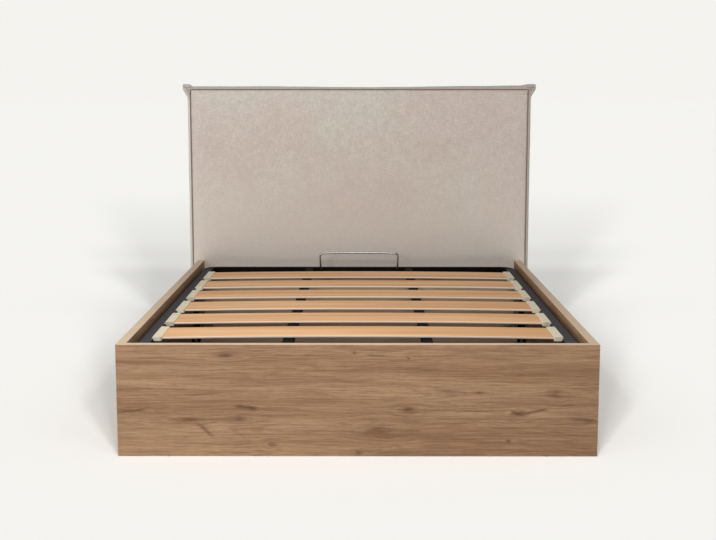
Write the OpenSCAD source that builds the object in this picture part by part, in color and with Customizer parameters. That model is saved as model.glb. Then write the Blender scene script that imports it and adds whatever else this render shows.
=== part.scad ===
// Ottoman bed: an oak-decor box with a sprung slat lid on gas struts and a linen headboard.
// Millimetres. +X is to the right seen from the foot end, +Y runs from foot to head, +Z is up.
// The origin lies on the floor, at the centre of the whole bed.
// Inside each module, y is counted from the front face of the box.

/* [Mattress and box] */
// Width of the mattress that the bed takes
mattress_w = 1400; // [1300:10:1600]
// Length of the mattress that the bed takes
mattress_l = 1900; // [1860:10:2050]
// Room between the mattress and each side panel
side_room = 30; // [28:1:40]
// Room left along the mattress between the ends of the box
end_room = 32; // [26:1:50]
// Thickness of the front and side panels
panel_t = 30; // [25:1:36]
// Height of the panels' top edge above the floor
box_h = 362; // [354:1:400]
// Radius of the banded edges of the panels
edge_r = 1; // [0.5:0.5:2]
// Thickness of the rear panel
rear_t = 16; // [12:1:18]
// Height of the rear panel's top edge above the floor
rear_h = 300; // [200:1:320]
// Height of the glides under the panels
glide_h = 2; // [1.5:0.5:5]
// Diameter of a glide
glide_d = 22; // [16:1:24]

/* [Box floor] */
// Height of the underside of the floor boards
floor_under = 25; // [22:1:28]
// Thickness of a floor board
floor_t = 5; // [3:1:6]
// Play round each floor board
floor_play = 0.5; // [0.3:0.1:0.8]
// Width of the ledge under the boards' sides
ledge_w = 20; // [15:1:30]
// Height of that ledge
ledge_h = 15; // [12:1:18]
// Width of a cross beam under the boards' joints
beam_w = 60; // [40:1:80]
// Height of a cross beam
beam_h = 18; // [14:1:19]
// Diameter of the feet under the cross beams
beam_foot_d = 40; // [25:1:44]

/* [Corner brackets and screws] */
// Width of each flange of a corner bracket
bracket_w = 40; // [32:1:45]
// Thickness of the bracket's steel
bracket_t = 3; // [2:0.5:4]
// Height of the brackets at the foot end
bracket_front_h = 240; // [120:1:245]
// Height of the brackets at the head end
bracket_rear_h = 65; // [50:1:70]
// Diameter of the wood screws
screw_d = 5; // [4:0.5:5.5]
// Length of the wood screws under the head
screw_len = 14; // [10:1:15]
// Diameter of a screw's head
screw_head_d = 9.5; // [8:0.5:10]
// Height of a screw's head
screw_head_h = 2.5; // [2:0.1:3]
// Radial play of a screw in its hole
screw_play = 0.1; // [0.05:0.05:0.3]

/* [Lid frame] */
// Gap between the lid frame and each side panel
frame_side_gap = 12; // [11:0.5:14]
// Gap between the lid frame and the front panel
frame_foot_gap = 4; // [3.5:0.5:8]
// Gap between the lid frame and the head end of the box
frame_head_gap = 26; // [24:1:40]
// Depth of the frame's top under the panels' top edge
frame_drop = 26; // [20:1:28]
// Width of the frame's steel tube
tube_w = 40; // [36:1:44]
// Height of the frame's steel tube
tube_h = 30; // [28:1:34]
// Wall of the steel tubes
tube_wall = 1.5; // [1:0.1:2]
// Outer radius of the frame's two bends at the head end
bend_r = 65; // [55:1:90]
// Width of the two lengthwise bars under the slats
bar_w = 36; // [25:1:40]
// Height of those bars
bar_h = 20; // [15:1:24]
// Distance of the bars from the middle of the bed
bar_x = 230; // [180:1:300]

/* [Slats and holders] */
// Width of a slat
slat_w = 166; // [120:1:180]
// Thickness of a slat
slat_t = 8; // [7:0.5:9]
// Radius of the slats' long edges
slat_edge_r = 3; // [1:0.5:3]
// Rise of a slat's middle over its ends
slat_camber = 6; // [3:1:14]
// Height of the slats' ends over the frame
slat_rise = 4; // [3:0.5:6]
// Distance from the foot end of the frame to the first slat
slat_foot_room = 198; // [190:1:230]
// Distance from the last slat to the head end of the frame
slat_head_room = 217; // [190:1:230]
// Distance between a slat's end and the frame's tube
slat_inset = 8; // [6:1:10]
// Play of a slat's end in its holder
slat_play = 0.3; // [0.2:0.1:0.5]
// Length of a holder beyond the slat on either side
holder_over = 9; // [6:1:12]
// Height of a holder's sleeve
holder_h = 14; // [13.5:0.5:18]
// Reach of a holder in from the tube
holder_reach = 27; // [24:1:34]
// Width of a holder's lip on the tube
holder_lip = 6; // [4:1:10]
// Wall of a holder over the slat
holder_wall = 2; // [1.5:0.1:3]
// Diameter of a holder's pegs
peg_d = 8; // [6:1:9]
// Length of a holder's pegs
peg_len = 9; // [5:1:12]
// Depth of the pegs' middle under the top of the tube
peg_drop = 11; // [10:0.5:13]
// Wall of the bosses that carry the pegs
boss_wall = 2.5; // [2:0.5:4]
// Reach of those bosses in from the tube
boss_reach = 12; // [8:1:16]
// Thickness of the two webs beside each boss
web_t = 2; // [1.5:0.5:3]
// Distance between the two pegs of a holder
peg_spread = 120; // [80:1:140]

/* [Hinge and gas struts] */
// Distance from the frame's head end to the pivots
pivot_from_head = 250; // [220:1:270]
// Depth of the pivots under the frame's underside
pivot_drop = 24; // [22:1:26]
// Distance from a pivot to both ends of its strut
strut_radius = 280; // [270:1:284]
// Height of the struts' lower pins above the floor
strut_low_z = 54.6; // [52:0.2:58]
// Distance of the strut's middle in from the frame's side
strut_lane = 17; // [16.5:0.5:18]
// Thickness of the hinge plates on the box
plate_t = 4; // [3:0.5:5]
// Thickness of the steel of the arms on the lid
arm_t = 4; // [3:0.5:4.5]
// Diameter of the pivot studs
pivot_d = 10; // [8:1:10]
// Radial play of the pivots, the strut eyes and the rods
pivot_play = 0.05; // [0.02:0.01:0.08]
// Outer diameter of the bushes in the arms
bush_d = 14; // [13:0.5:15]
// Diameter of a strut's tube
strut_d = 22; // [20:1:22]
// Room between a strut's tube and the neck of its rod's eye, with the lid down
strut_mouth_room = 13.5; // [12:0.5:16]
// Distance from a strut's lower eye to its tube
strut_tube_from = 22; // [20:1:24]
// Diameter of a strut's rod
rod_d = 10; // [8:1:10]
// Diameter of the pins in the strut's eyes
eye_pin_d = 8; // [6:1:8]
// Outer diameter of the strut's eyes
eye_d = 20; // [16:1:20]
// Thickness of the strut's eyes
eye_t = 10; // [8:1:11]

/* [Lid rests and lift strap] */
// Distance from the front face to the middle of the lid rests
rest_y = 190; // [120:1:300]
// Width of a lid rest
rest_w = 60; // [50:1:80]
// Height of the rubber buffers on the rests
buffer_h = 8; // [5:1:12]
// Diameter of the rubber buffers
buffer_d = 24; // [18:1:28]
// Width of the webbing of the lift strap
strap_w = 30; // [20:1:40]
// Thickness of the webbing
strap_t = 2.5; // [1.5:0.1:2.6]
// Height of the strap's loop for the hand
strap_loop_h = 95; // [85:1:110]
// Width of the strap's loop for the hand
strap_loop_w = 30; // [26:1:36]

/* [Mattress stop] */
// Diameter of the stop's wire
stop_d = 8; // [6:0.5:9]
// Half the distance between the stop's feet
stop_foot_x = 177; // [150:1:195]
// Angle that the stop's legs lean outwards
stop_splay = 3; // [0:0.5:5]
// Height of the stop's top over the frame
stop_rise = 76; // [60:1:90]
// Rise of the stop's top bar in its middle
stop_bow = 3; // [2:0.5:6]
// Inner corner radius of the stop, to the wire's middle
stop_r = 14; // [10:1:20]
// Depth of the sockets that hold the stop, in front of the tube
socket_t = 14; // [13:0.5:18]

/* [Headboard] */
// Width of the headboard over its flanged seams
head_w = 1590; // [1560:1:1800]
// Height of the headboard over its flanged seam
head_h = 1172; // [900:1:1300]
// Thickness of the headboard
head_t = 80; // [74:1:100]
// Width of the flat flange outside the cover's seam
flange_w = 13; // [8:1:16]
// Thickness of the flange, two folded plies
flange_t = 4; // [3:0.5:6]
// Length of the ears down the sides, where the flange turns its corners
ear_l = 55; // [40:1:70]
// Length of the ears in along the top
ear_in = 30; // [18:1:50]
// Reach of the ears beyond the flange, sideways
ear_out = 18; // [8:1:22]
// Reach of the ears beyond the flange, upwards
ear_up = 12; // [6:1:16]
// Radius of the ears' tips
ear_r = 7; // [4:1:8]
// Thickness of the cover's cloth and its lining
cover_t = 2; // [1.5:0.1:3]
// Play between the cover and what it is drawn over
cover_play = 0.3; // [0.3:0.1:0.8]
// Thickness of the foam on the front of the headboard
foam_t = 30; // [20:1:32]
// Thickness of the headboard's board
head_board_t = 18; // [15:1:19]
// Width of the battens behind that board
batten_w = 60; // [45:1:80]
// Height of the cover's hem above the floor
hem_z = 8; // [5:1:15]
// Diameter of the cams that draw the headboard to the box
cam_d = 15; // [12:1:16]
// Depth of the cams in the side panels
cam_depth = 12.5; // [10:0.5:13]
// Diameter of the cams' bolts
cam_bolt_d = 7; // [5:0.5:7.5]

/* [Hidden] */
$fn = 48;

// Colours
oak = [0.62, 0.48, 0.36];
chipboard = [0.76, 0.66, 0.50];
grey_board = [0.55, 0.52, 0.48];
beech = [0.87, 0.69, 0.50];
cream = [0.93, 0.88, 0.78];
black_steel = [0.12, 0.12, 0.12];
zinc = [0.66, 0.67, 0.68];
chrome = [0.80, 0.81, 0.83];
linen = [0.75, 0.71, 0.67];
foam = [0.93, 0.90, 0.72];
black_rubber = [0.08, 0.08, 0.08];
black_webbing = [0.10, 0.10, 0.11];

// The box
inner_w = mattress_w + 2 * side_room;
inner_l = mattress_l + end_room;
box_w = inner_w + 2 * panel_t;
box_l = panel_t + inner_l;
panel_h = box_h - glide_h;
seat_gap = 0.3;
head_y = box_l + seat_gap;
overall_l = head_y + head_t;
glide_inset = 160;
glide_side_y = [500, 1200, box_l - 60];
head_glide_x = 600;

// The box floor
floor_top = floor_under + floor_t;
floor_l = inner_l - rear_t;
board_l = (floor_l - 4 * floor_play) / 3;
board_y = [for (i = [0:2]) panel_t + floor_play + i * (board_l + floor_play)];
beam_x = inner_w / 2 - ledge_w - floor_play;
beam_foot_x = [-450, 0, 450];
// What is left of a ledge's width under its screws' sunk heads
ledge_seat = 8;
ledge_screw_y = [for (i = [0:3]) panel_t + (i + 0.5) * floor_l / 4];

// The corner brackets
bracket_z = floor_top + 5;
bracket_screw_in = 24;
bracket_screw_edge = 18;
rear_panel_y = box_l - rear_t;

// The lid frame
rail_out = inner_w / 2 - frame_side_gap;
rail_in = rail_out - tube_w;
rail_mid = rail_out - tube_w / 2;
rim_foot = panel_t + frame_foot_gap;
rim_head = box_l - frame_head_gap;
rail_top = box_h - frame_drop;
rail_low = rail_top - tube_h;
tube_corner = 3;
cap_t = 2;
cap_plug = 12;
cap_play = 0.1;

// The slats
slat_count = 6;
slat_half = rail_in - slat_inset;
slat_end_top = rail_top + slat_rise;
slat_first = rim_foot + slat_foot_room + slat_w / 2;
slat_last = rim_head - slat_head_room - slat_w / 2;
slat_pitch = (slat_last - slat_first) / (slat_count - 1);
function slat_y(i) = slat_first + i * slat_pitch;
slat_arch_r = (pow(slat_half, 2) + pow(slat_camber, 2)) / (2 * slat_camber);
slat_arch_a = asin(slat_half / slat_arch_r);
slat_arch_z = slat_end_top + slat_camber - slat_arch_r;
function camber(x) = slat_arch_z + sqrt(pow(slat_arch_r, 2) - x * x) - slat_end_top;
slat_steps = 28;

// The holders, with s counted inwards from the tube's inner face
slot_low = slat_end_top - slat_t - slat_play;
slot_top = slat_end_top + slat_play + camber(rail_in - holder_reach);
holder_top = slot_top + holder_wall;
holder_low = holder_top - holder_h;
holder_l = slat_w + 2 * holder_over;
holder_round = 6;
holder_slope = 4;
holder_nose = 1;
mouth_flare = 0.6;
mouth_l = 8;
peg_z = rail_top - peg_drop;
peg_play = 0.1;
boss_d = peg_d + 2 * boss_wall;

// The hinge: the pivot, the strut's lower end and the strut's upper end as [y, z]
pivot = [rim_head - pivot_from_head, rail_low - pivot_drop];
closed_angle = asin((pivot.y - strut_low_z) / strut_radius);
strut_low_end = pivot - strut_radius * [cos(closed_angle), sin(closed_angle)];
strut_top_end = pivot - [strut_radius, 0];
strut_closed_l = 2 * strut_radius * sin(closed_angle / 2);
strut_lean = 90 - (180 - closed_angle) / 2;
lane_x = rail_out - strut_lane;
plate_x = inner_w / 2 - plate_t;
plate_round = 8;
web_x = rail_out - arm_t;
web_drop = 18;
arm_over = 32;
stud_shoulder_d = 18;
eye_shoulder_d = 14;
bush_flange_t = 1.5;
pivot_gap = 0.3;
nut_across = 17;
nut_h = 8;
nut_x = web_x - pivot_gap - nut_h;
clip_t = 1.2;
clip_d = 14;
pin_past = 4;
eye_neck_d = 12;
eye_neck_l = 20;
guide_t = 8;
strut_wall = 1.5;
piston_t = 10;
piston_play = 0.1;
tube_floor = 4;
piston_room = 4;
rod_l = strut_closed_l - strut_tube_from - tube_floor - piston_room;
strut_tube_l = strut_closed_l - strut_tube_from - strut_mouth_room - eye_neck_l;

// The centres of the hinge plates' round corners, as [y, z]
plate_corners = [
  pivot + [30, 12], pivot + [-20, 12], strut_low_end + [-18, 14],
  strut_low_end + [-18, -6], strut_low_end + [60, -6]
];

// The screws in the hinge plates, as [y, z]
plate_screws = [
  pivot + [20, 6],
  pivot + 0.34 * (strut_low_end + [28, 0] - pivot),
  pivot + 0.64 * (strut_low_end + [28, 0] - pivot),
  strut_low_end + [50, 2]
];
arm_screw_y = [strut_top_end.x, strut_top_end.x + strut_radius / 2, pivot.x];

// The lid rests
rest_t = 3;
rest_h = 52;
rest_shelf_top = rail_low - seat_gap - buffer_h;
rest_in = rail_mid - buffer_d / 2 - 4;
rest_screw_z = rest_shelf_top - 34;

// The lift strap, hung from the foot rail
strap_play = 0.3;
strap_mid_y = rim_foot + tube_w / 2;
strap_ply_h = 24;

// The mattress stop: its arc, corners and legs lie in one upright plane
stop_y = rim_head - tube_w - socket_t / 2;
stop_foot_z = rail_top - 22;
stop_top_z = rail_top + stop_rise - stop_d / 2;
stop_chord = stop_foot_x - stop_r;
stop_arc_r = (pow(stop_chord, 2) + pow(stop_bow, 2)) / (2 * stop_bow);
stop_arc_c = [0, stop_top_z - stop_arc_r];
stop_foot = [stop_foot_x, stop_foot_z];
stop_dir = [sin(stop_splay), cos(stop_splay)];
stop_in = [-cos(stop_splay), sin(stop_splay)];
stop_q = stop_foot + stop_r * stop_in - stop_arc_c;
stop_qd = stop_q * stop_dir;
stop_leg_l = -stop_qd + sqrt(pow(stop_qd, 2) - stop_q * stop_q + pow(stop_arc_r - stop_r, 2));
stop_corner_c = stop_foot + stop_r * stop_in + stop_leg_l * stop_dir;
stop_corner_a = atan2(stop_corner_c.y - stop_arc_c.y, stop_corner_c.x);
stop_sides = 24;
stop_corner_steps = 8;
stop_top_steps = 16;
socket_w = 18;
socket_play = 0.05;
socket_low = rail_top - 27;
socket_top = rail_top - 3;

// The headboard, from the cover inwards
body_half = head_w / 2 - flange_w;
body_top = head_h - flange_w;
body_r = 8;
core_half = body_half - cover_t - cover_play;
core_top = body_top - cover_t - cover_play;
core_low = glide_h;
core_r = body_r - cover_t - cover_play;
foam_low = hem_z + 4;
foam_y = head_y + cover_t + cover_play;
board_face_y = foam_y + foam_t;
batten_y = board_face_y + head_board_t;
batten_t = head_t - 2 * cover_t - 2 * cover_play - foam_t - head_board_t;
cam_z = [90, 290];
cam_y = box_l - 34;
cam_play = 0.1;
bolt_play = 0.1;
bolt_in = 14;
foam_hole_play = 2;

// Places a piece that is drawn from the front face
module from_foot() translate([0, -overall_l / 2, 0]) children();

// Mirrors a piece drawn for the right side to side s, -1 for the left
module on_side(s) mirror([s < 0 ? 1 : 0, 0, 0]) children();

// A rectangle with round corners, from its low corner
module round_rect(w, h, r) {
  translate([r, 0]) square([w - 2 * r, h]);
  translate([0, r]) square([w, h - 2 * r]);
  for (x = [r, w - r], y = [r, h - r]) translate([x, y]) circle(r, $fn = 32);
}

// A board with eased edges, from its low corner
module eased_board(size, r) {
  intersection() {
    linear_extrude(size.z) round_rect(size.x, size.y, r);
    rotate([90, 0, 90]) linear_extrude(size.x) round_rect(size.y, size.z, r);
  }
}

// The section of a rectangular tube, centred
module tube_ring(w, h, wall) {
  difference() {
    translate([-w / 2, -h / 2]) round_rect(w, h, tube_corner);
    translate([-w / 2 + wall, -h / 2 + wall]) square([w - 2 * wall, h - 2 * wall]);
  }
}

// A tube along y between two places
module tube_along_y(w, h, wall, y0, y1) {
  translate([0, y1, 0]) rotate([90, 0, 0]) linear_extrude(y1 - y0) tube_ring(w, h, wall);
}

// A wood screw with its head's underside at the origin, driven towards -z
module wood_screw() {
  translate([0, 0, -screw_len]) cylinder(h = screw_len, d = screw_d);
  difference() {
    rotate_extrude() polygon([
      [0, 0], [screw_head_d / 2, 0], [screw_head_d / 2, screw_head_h / 2],
      [screw_head_d / 3, screw_head_h], [0, screw_head_h]
    ]);
    translate([0, 0, screw_head_h / 2]) cylinder(h = screw_head_h, d = screw_d * 0.7, $fn = 6);
  }
}

// The hole for a wood screw, from a little over its head's underside
module screw_hole(over) {
  translate([0, 0, -screw_len - 1])
    cylinder(h = screw_len + 1 + over, d = screw_d + 2 * screw_play);
}

// Turns what is driven towards -z to be driven towards +x, or towards -y or +y
module driven_right() rotate([0, -90, 0]) children();
module driven_to_foot() rotate([-90, 0, 0]) children();
module driven_to_head() rotate([90, 0, 0]) children();

// Places the screws of one corner bracket on the right side, at the foot or the head end
module at_bracket_screws(end, into_side) {
  h = end == "foot" ? bracket_front_h : bracket_rear_h;
  y_in = end == "foot" ? panel_t : rear_panel_y;
  inwards = end == "foot" ? 1 : -1;
  for (z = [bracket_z + bracket_screw_edge, bracket_z + h - bracket_screw_edge]) {
    if (into_side)
      translate([inner_w / 2 - bracket_t, y_in + inwards * bracket_screw_in, z])
        driven_right() children();
    else if (end == "foot")
      translate([inner_w / 2 - bracket_screw_in, y_in + bracket_t, z]) driven_to_foot() children();
    else
      translate([inner_w / 2 - bracket_screw_in, y_in - bracket_t, z]) driven_to_head() children();
  }
}

// Places the screws of one hinge plate
module at_plate_screws() {
  for (p = plate_screws) translate([plate_x, p.x, p.y]) driven_right() children();
}

// Places the screws of one lid rest
module at_rest_screws() {
  for (dy = [-rest_w / 4, rest_w / 4])
    translate([inner_w / 2 - rest_t, rest_y + dy, rest_screw_z]) driven_right() children();
}

// Places the screws of one floor ledge
module at_ledge_screws() {
  for (y = ledge_screw_y)
    translate([inner_w / 2 - ledge_seat, y, floor_under - ledge_h / 2]) driven_right() children();
}

// Places the screws of one arm, up into the tube
module at_arm_screws() {
  for (y = arm_screw_y)
    translate([rail_mid - 4, y, rail_low - arm_t]) rotate([180, 0, 0]) children();
}

// Places the pegs of one side's holders, pointing outwards
module at_pegs() {
  for (i = [0:slat_count - 1], dy = [-peg_spread / 2, peg_spread / 2])
    translate([rail_in, slat_y(i) + dy, peg_z]) rotate([0, 90, 0]) children();
}

// Places the headboard's cams and their bolts
module at_cams() {
  for (z = cam_z) translate([0, 0, z]) children();
}

// The front panel of the box, which covers the ends of the side panels
module front_panel() color(oak) from_foot() difference() {
  translate([-box_w / 2, 0, glide_h]) eased_board([box_w, panel_t, panel_h], edge_r);
  for (s = [-1, 1]) on_side(s) at_bracket_screws("foot", false) screw_hole(0);
}

// A side panel of the box, from the front panel to the headboard
module side_panel(s) color(oak) from_foot() on_side(s) difference() {
  translate([inner_w / 2, panel_t, glide_h]) eased_board([panel_t, inner_l, panel_h], edge_r);
  for (end = ["foot", "head"]) at_bracket_screws(end, true) screw_hole(0);
  at_plate_screws() screw_hole(0);
  at_rest_screws() screw_hole(0);
  at_ledge_screws() screw_hole(0);
  at_cams() {
    translate([inner_w / 2 - 1, cam_y, 0]) rotate([0, 90, 0])
      cylinder(h = cam_depth + 1 + cam_play, d = cam_d + 2 * cam_play);
    translate([inner_w / 2 + cam_depth / 2, cam_y, 0]) rotate([-90, 0, 0])
      cylinder(h = box_l - cam_y + 1, d = cam_bolt_d + 2 * bolt_play);
  }
}
module side_panel_left() side_panel(-1);
module side_panel_right() side_panel(1);

// The low rear panel between the side panels
module rear_panel() color(oak) from_foot() difference() {
  translate([-inner_w / 2, rear_panel_y, glide_h])
    eased_board([inner_w, rear_t, rear_h - glide_h], edge_r);
  for (s = [-1, 1]) on_side(s) at_bracket_screws("head", false) screw_hole(0);
}

// An angle of steel screwed into a corner of the box
module corner_bracket(s, end) {
  h = end == "foot" ? bracket_front_h : bracket_rear_h;
  y_in = end == "foot" ? panel_t : rear_panel_y;
  inwards = end == "foot" ? 1 : -1;
  color(zinc) from_foot() on_side(s) difference() {
    translate([inner_w / 2, y_in, bracket_z]) linear_extrude(h) polygon([
      [0, 0], [-bracket_w, 0], [-bracket_w, inwards * bracket_t],
      [-bracket_t, inwards * bracket_t], [-bracket_t, inwards * bracket_w], [0, inwards * bracket_w]
    ]);
    at_bracket_screws(end, true) screw_hole(1);
    at_bracket_screws(end, false) screw_hole(1);
  }
}
module corner_bracket_front_left() corner_bracket(-1, "foot");
module corner_bracket_front_right() corner_bracket(1, "foot");
module corner_bracket_rear_left() corner_bracket(-1, "head");
module corner_bracket_rear_right() corner_bracket(1, "head");

// The screws of the four corner brackets
module corner_screws() color(zinc) from_foot()
  for (s = [-1, 1], end = ["foot", "head"], into_side = [true, false])
    on_side(s) at_bracket_screws(end, into_side) wood_screw();

// The nailed glides under the panels and the headboard
module glides() color(black_rubber) from_foot() {
  for (s = [-1, 1]) {
    translate([s * (box_w / 2 - glide_inset), panel_t / 2, 0]) glide();
    for (y = glide_side_y) translate([s * (box_w - panel_t) / 2, y, 0]) glide();
    translate([s * head_glide_x, batten_y + batten_t / 2, 0]) glide();
  }
}
module glide() {
  rotate_extrude() polygon([
    [0, 0], [glide_d / 2 - glide_h / 2, 0], [glide_d / 2, glide_h / 2], [glide_d / 2, glide_h],
    [0, glide_h]
  ]);
}

// One of the three loose boards of the box's floor
module floor_board(i) color(grey_board) from_foot()
  translate([-inner_w / 2 + floor_play, board_y[i], floor_under])
    cube([inner_w - 2 * floor_play, board_l, floor_t]);
module floor_board_foot() floor_board(0);
module floor_board_middle() floor_board(1);
module floor_board_head() floor_board(2);

// The beech ledge that carries the boards along a side panel
module floor_ledge(s) color(beech) from_foot() on_side(s) difference() {
  translate([inner_w / 2 - ledge_w, panel_t + floor_play, floor_under - ledge_h])
    cube([ledge_w, floor_l - 2 * floor_play, ledge_h]);
  at_ledge_screws() {
    screw_hole(1);
    cylinder(h = ledge_w, d = screw_head_d + 1);
  }
}
module floor_ledge_left() floor_ledge(-1);
module floor_ledge_right() floor_ledge(1);

// The screws of the two ledges
module floor_screws() color(zinc) from_foot()
  for (s = [-1, 1]) on_side(s) at_ledge_screws() wood_screw();

// A cross beam under a joint of the floor boards
module floor_beam(i) color(beech) from_foot()
  translate([-beam_x, board_y[i] - floor_play / 2 - beam_w / 2, floor_under - beam_h])
    cube([2 * beam_x, beam_w, beam_h]);
module floor_beam_foot() floor_beam(1);
module floor_beam_head() floor_beam(2);

// The feet under the two cross beams
module floor_beam_feet() color(black_rubber) from_foot()
  for (i = [1, 2], x = beam_foot_x)
    translate([x, board_y[i] - floor_play / 2, 0]) cylinder(h = floor_under - beam_h, d = beam_foot_d);

// The steel plate screwed to a side panel, with the riveted studs for the lid and the strut
module hinge_plate(s) color(black_steel) from_foot() on_side(s) {
  difference() {
    translate([plate_x, 0, 0]) rotate([90, 0, 90]) linear_extrude(plate_t) hull()
      for (p = plate_corners) translate(p) circle(plate_round, $fn = 32);
    at_plate_screws() screw_hole(1);
  }
  stud(pivot, stud_shoulder_d, rail_out + bush_flange_t + pivot_gap, pivot_d, nut_x - 1);
  stud(strut_low_end, eye_shoulder_d, lane_x + eye_t / 2 + pivot_gap, eye_pin_d,
    lane_x - eye_t / 2 - pin_past);
}
module hinge_plate_left() hinge_plate(-1);
module hinge_plate_right() hinge_plate(1);

// A stud pointing inwards from the plate, with a shoulder that ends at x = shoulder_x
module stud(at, shoulder_d, shoulder_x, pin_d, pin_x) {
  translate([pin_x, at.x, at.y]) rotate([0, 90, 0]) cylinder(h = plate_x - pin_x, d = pin_d);
  translate([shoulder_x, at.x, at.y]) rotate([0, 90, 0])
    cylinder(h = plate_x - shoulder_x, d = shoulder_d);
}

// The screws of the two hinge plates
module hinge_screws() color(zinc) from_foot()
  for (s = [-1, 1]) on_side(s) at_plate_screws() wood_screw();

// The lock nuts on the two pivot studs
module pivot_nuts() color(zinc) from_foot() for (s = [-1, 1]) on_side(s)
  translate([nut_x, pivot.x, pivot.y]) rotate([0, 90, 0]) difference() {
    cylinder(h = nut_h, d = nut_across / cos(30), $fn = 6);
    translate([0, 0, -1]) cylinder(h = nut_h + 2, d = pivot_d + 2 * pivot_play);
  }

// A spring clip on the inner end of a strut's pin
module strut_clip(at) {
  translate([lane_x - eye_t / 2 - pivot_gap - clip_t, at.x, at.y]) rotate([0, 90, 0])
    difference() {
      cylinder(h = clip_t, d = clip_d);
      translate([0, 0, -1]) cylinder(h = clip_t + 2, d = eye_pin_d + 2 * pivot_play);
    }
}
module strut_clips_lower() color(zinc) from_foot()
  for (s = [-1, 1]) on_side(s) strut_clip(strut_low_end);
module strut_clips_upper() color(zinc) from_foot()
  for (s = [-1, 1]) on_side(s) strut_clip(strut_top_end);

// The angle on a side panel that carries the lid when it is down
module lid_rest(s) color(black_steel) from_foot() on_side(s) difference() {
  translate([0, rest_y + rest_w / 2, 0]) rotate([90, 0, 0]) linear_extrude(rest_w) polygon([
    [inner_w / 2, rest_shelf_top], [rest_in, rest_shelf_top],
    [rest_in, rest_shelf_top - rest_t], [inner_w / 2 - rest_t, rest_shelf_top - rest_t],
    [inner_w / 2 - rest_t, rest_shelf_top - rest_h], [inner_w / 2, rest_shelf_top - rest_h]
  ]);
  at_rest_screws() screw_hole(1);
}
module lid_rest_left() lid_rest(-1);
module lid_rest_right() lid_rest(1);

// The rubber buffers on the two lid rests
module lid_rest_buffers() color(black_rubber) from_foot() for (s = [-1, 1])
  translate([s * rail_mid, rest_y, rest_shelf_top]) rotate_extrude() polygon([
    [0, 0], [buffer_d / 2, 0], [buffer_d / 2, buffer_h - 2], [buffer_d / 2 - 2, buffer_h],
    [0, buffer_h]
  ]);

// The screws of the two lid rests
module lid_rest_screws() color(zinc) from_foot()
  for (s = [-1, 1]) on_side(s) at_rest_screws() wood_screw();

// The board that carries the headboard's foam
module headboard_board() color(chipboard) from_foot() difference() {
  core_layer(board_face_y, head_board_t, core_low);
  at_bolts(board_face_y - 1) cylinder(h = bolt_in + 2, d = cam_bolt_d + 2 * bolt_play);
}

// A layer of the headboard's core: a slab of it with the core's round outer edges
module core_layer(y, t, low) {
  core_t = batten_y + batten_t - foam_y;
  intersection() {
    translate([-core_half, foam_y, low])
      cover_block(2 * core_half, core_t, core_top - low, core_r);
    translate([-core_half - 1, y, low - 1]) cube([2 * core_half + 2, t, core_top - low + 2]);
  }
}

// Places what is bored for the cams' bolts, from a place on towards the head
module at_bolts(y) {
  for (s = [-1, 1]) on_side(s) at_cams()
    translate([inner_w / 2 + cam_depth / 2, y, 0]) rotate([-90, 0, 0]) children();
}

// The battens behind that board, glued up as a frame with two uprights
module headboard_battens() color(beech) from_foot() {
  open_w = (2 * core_half - 4 * batten_w) / 3;
  difference() {
    core_layer(batten_y, batten_t, core_low);
    for (i = [0:2])
      translate([-core_half + batten_w + i * (open_w + batten_w), batten_y - 1, core_low + batten_w])
        cube([open_w, batten_t + 2, core_top - core_low - 2 * batten_w]);
  }
}

// The foam on the headboard's front, with holes for the bolts
module headboard_foam() color(foam) from_foot() difference() {
  core_layer(foam_y, foam_t, foam_low);
  at_bolts(foam_y - 1) cylinder(h = foam_t + 2, d = cam_bolt_d + 2 * foam_hole_play);
}

// The loose linen cover: a bag open at its hem, with a flat flange and ears round its front
module headboard_cover() color(linen) from_foot() {
  difference() {
    union() {
      translate([-body_half, head_y, hem_z]) cover_block(2 * body_half, head_t, body_top - hem_z, body_r);
      translate([0, head_y + flange_t + 1, 0]) rotate([90, 0, 0]) linear_extrude(flange_t)
        flange_outline();
    }
    translate([-body_half + cover_t, head_y + cover_t, 0]) cover_block(
      2 * (body_half - cover_t), head_t - 2 * cover_t, body_top - cover_t, body_r - cover_t);
    at_bolts(head_y - 1) cylinder(h = cover_t + 2, d = cam_bolt_d + 2 * foam_hole_play);
  }
}

// A block with round upright edges and a round top edge, from its low corner
module cover_block(w, t, h, r) {
  intersection() {
    linear_extrude(h) round_rect(w, t, r);
    rotate([90, 0, 90]) linear_extrude(w) {
      translate([0, -r]) round_rect(t, h + r, r);
    }
  }
}

// The flange's outline: straight sides that sweep out to an ear with a round tip at each corner
module flange_outline() {
  steps = 8;
  half = head_w / 2;
  tip = [half + ear_out - ear_r, head_h + ear_up - ear_r];
  from_a = -20;
  to_a = 110;
  out = tip + ear_r * [cos(from_a), sin(from_a)];
  back = tip + ear_r * [cos(to_a), sin(to_a)];
  side_curve = [for (i = [0:steps - 1]) let (t = i / steps)
    [half + (out.x - half) * t * t, head_h - ear_l + (out.y - head_h + ear_l) * t]];
  tip_curve = [for (i = [0:steps]) let (a = from_a + (to_a - from_a) * i / steps)
    tip + ear_r * [cos(a), sin(a)]];
  top_curve = [for (i = [1:steps]) let (t = i / steps)
    [back.x + (half - ear_in - back.x) * t, head_h + (back.y - head_h) * (1 - t) * (1 - t)]];
  right = concat([[half, hem_z]], side_curve, tip_curve, top_curve);
  left = [for (i = [len(right) - 1:-1:0]) [-right[i].x, right[i].y]];
  polygon(concat(right, left));
}

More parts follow.
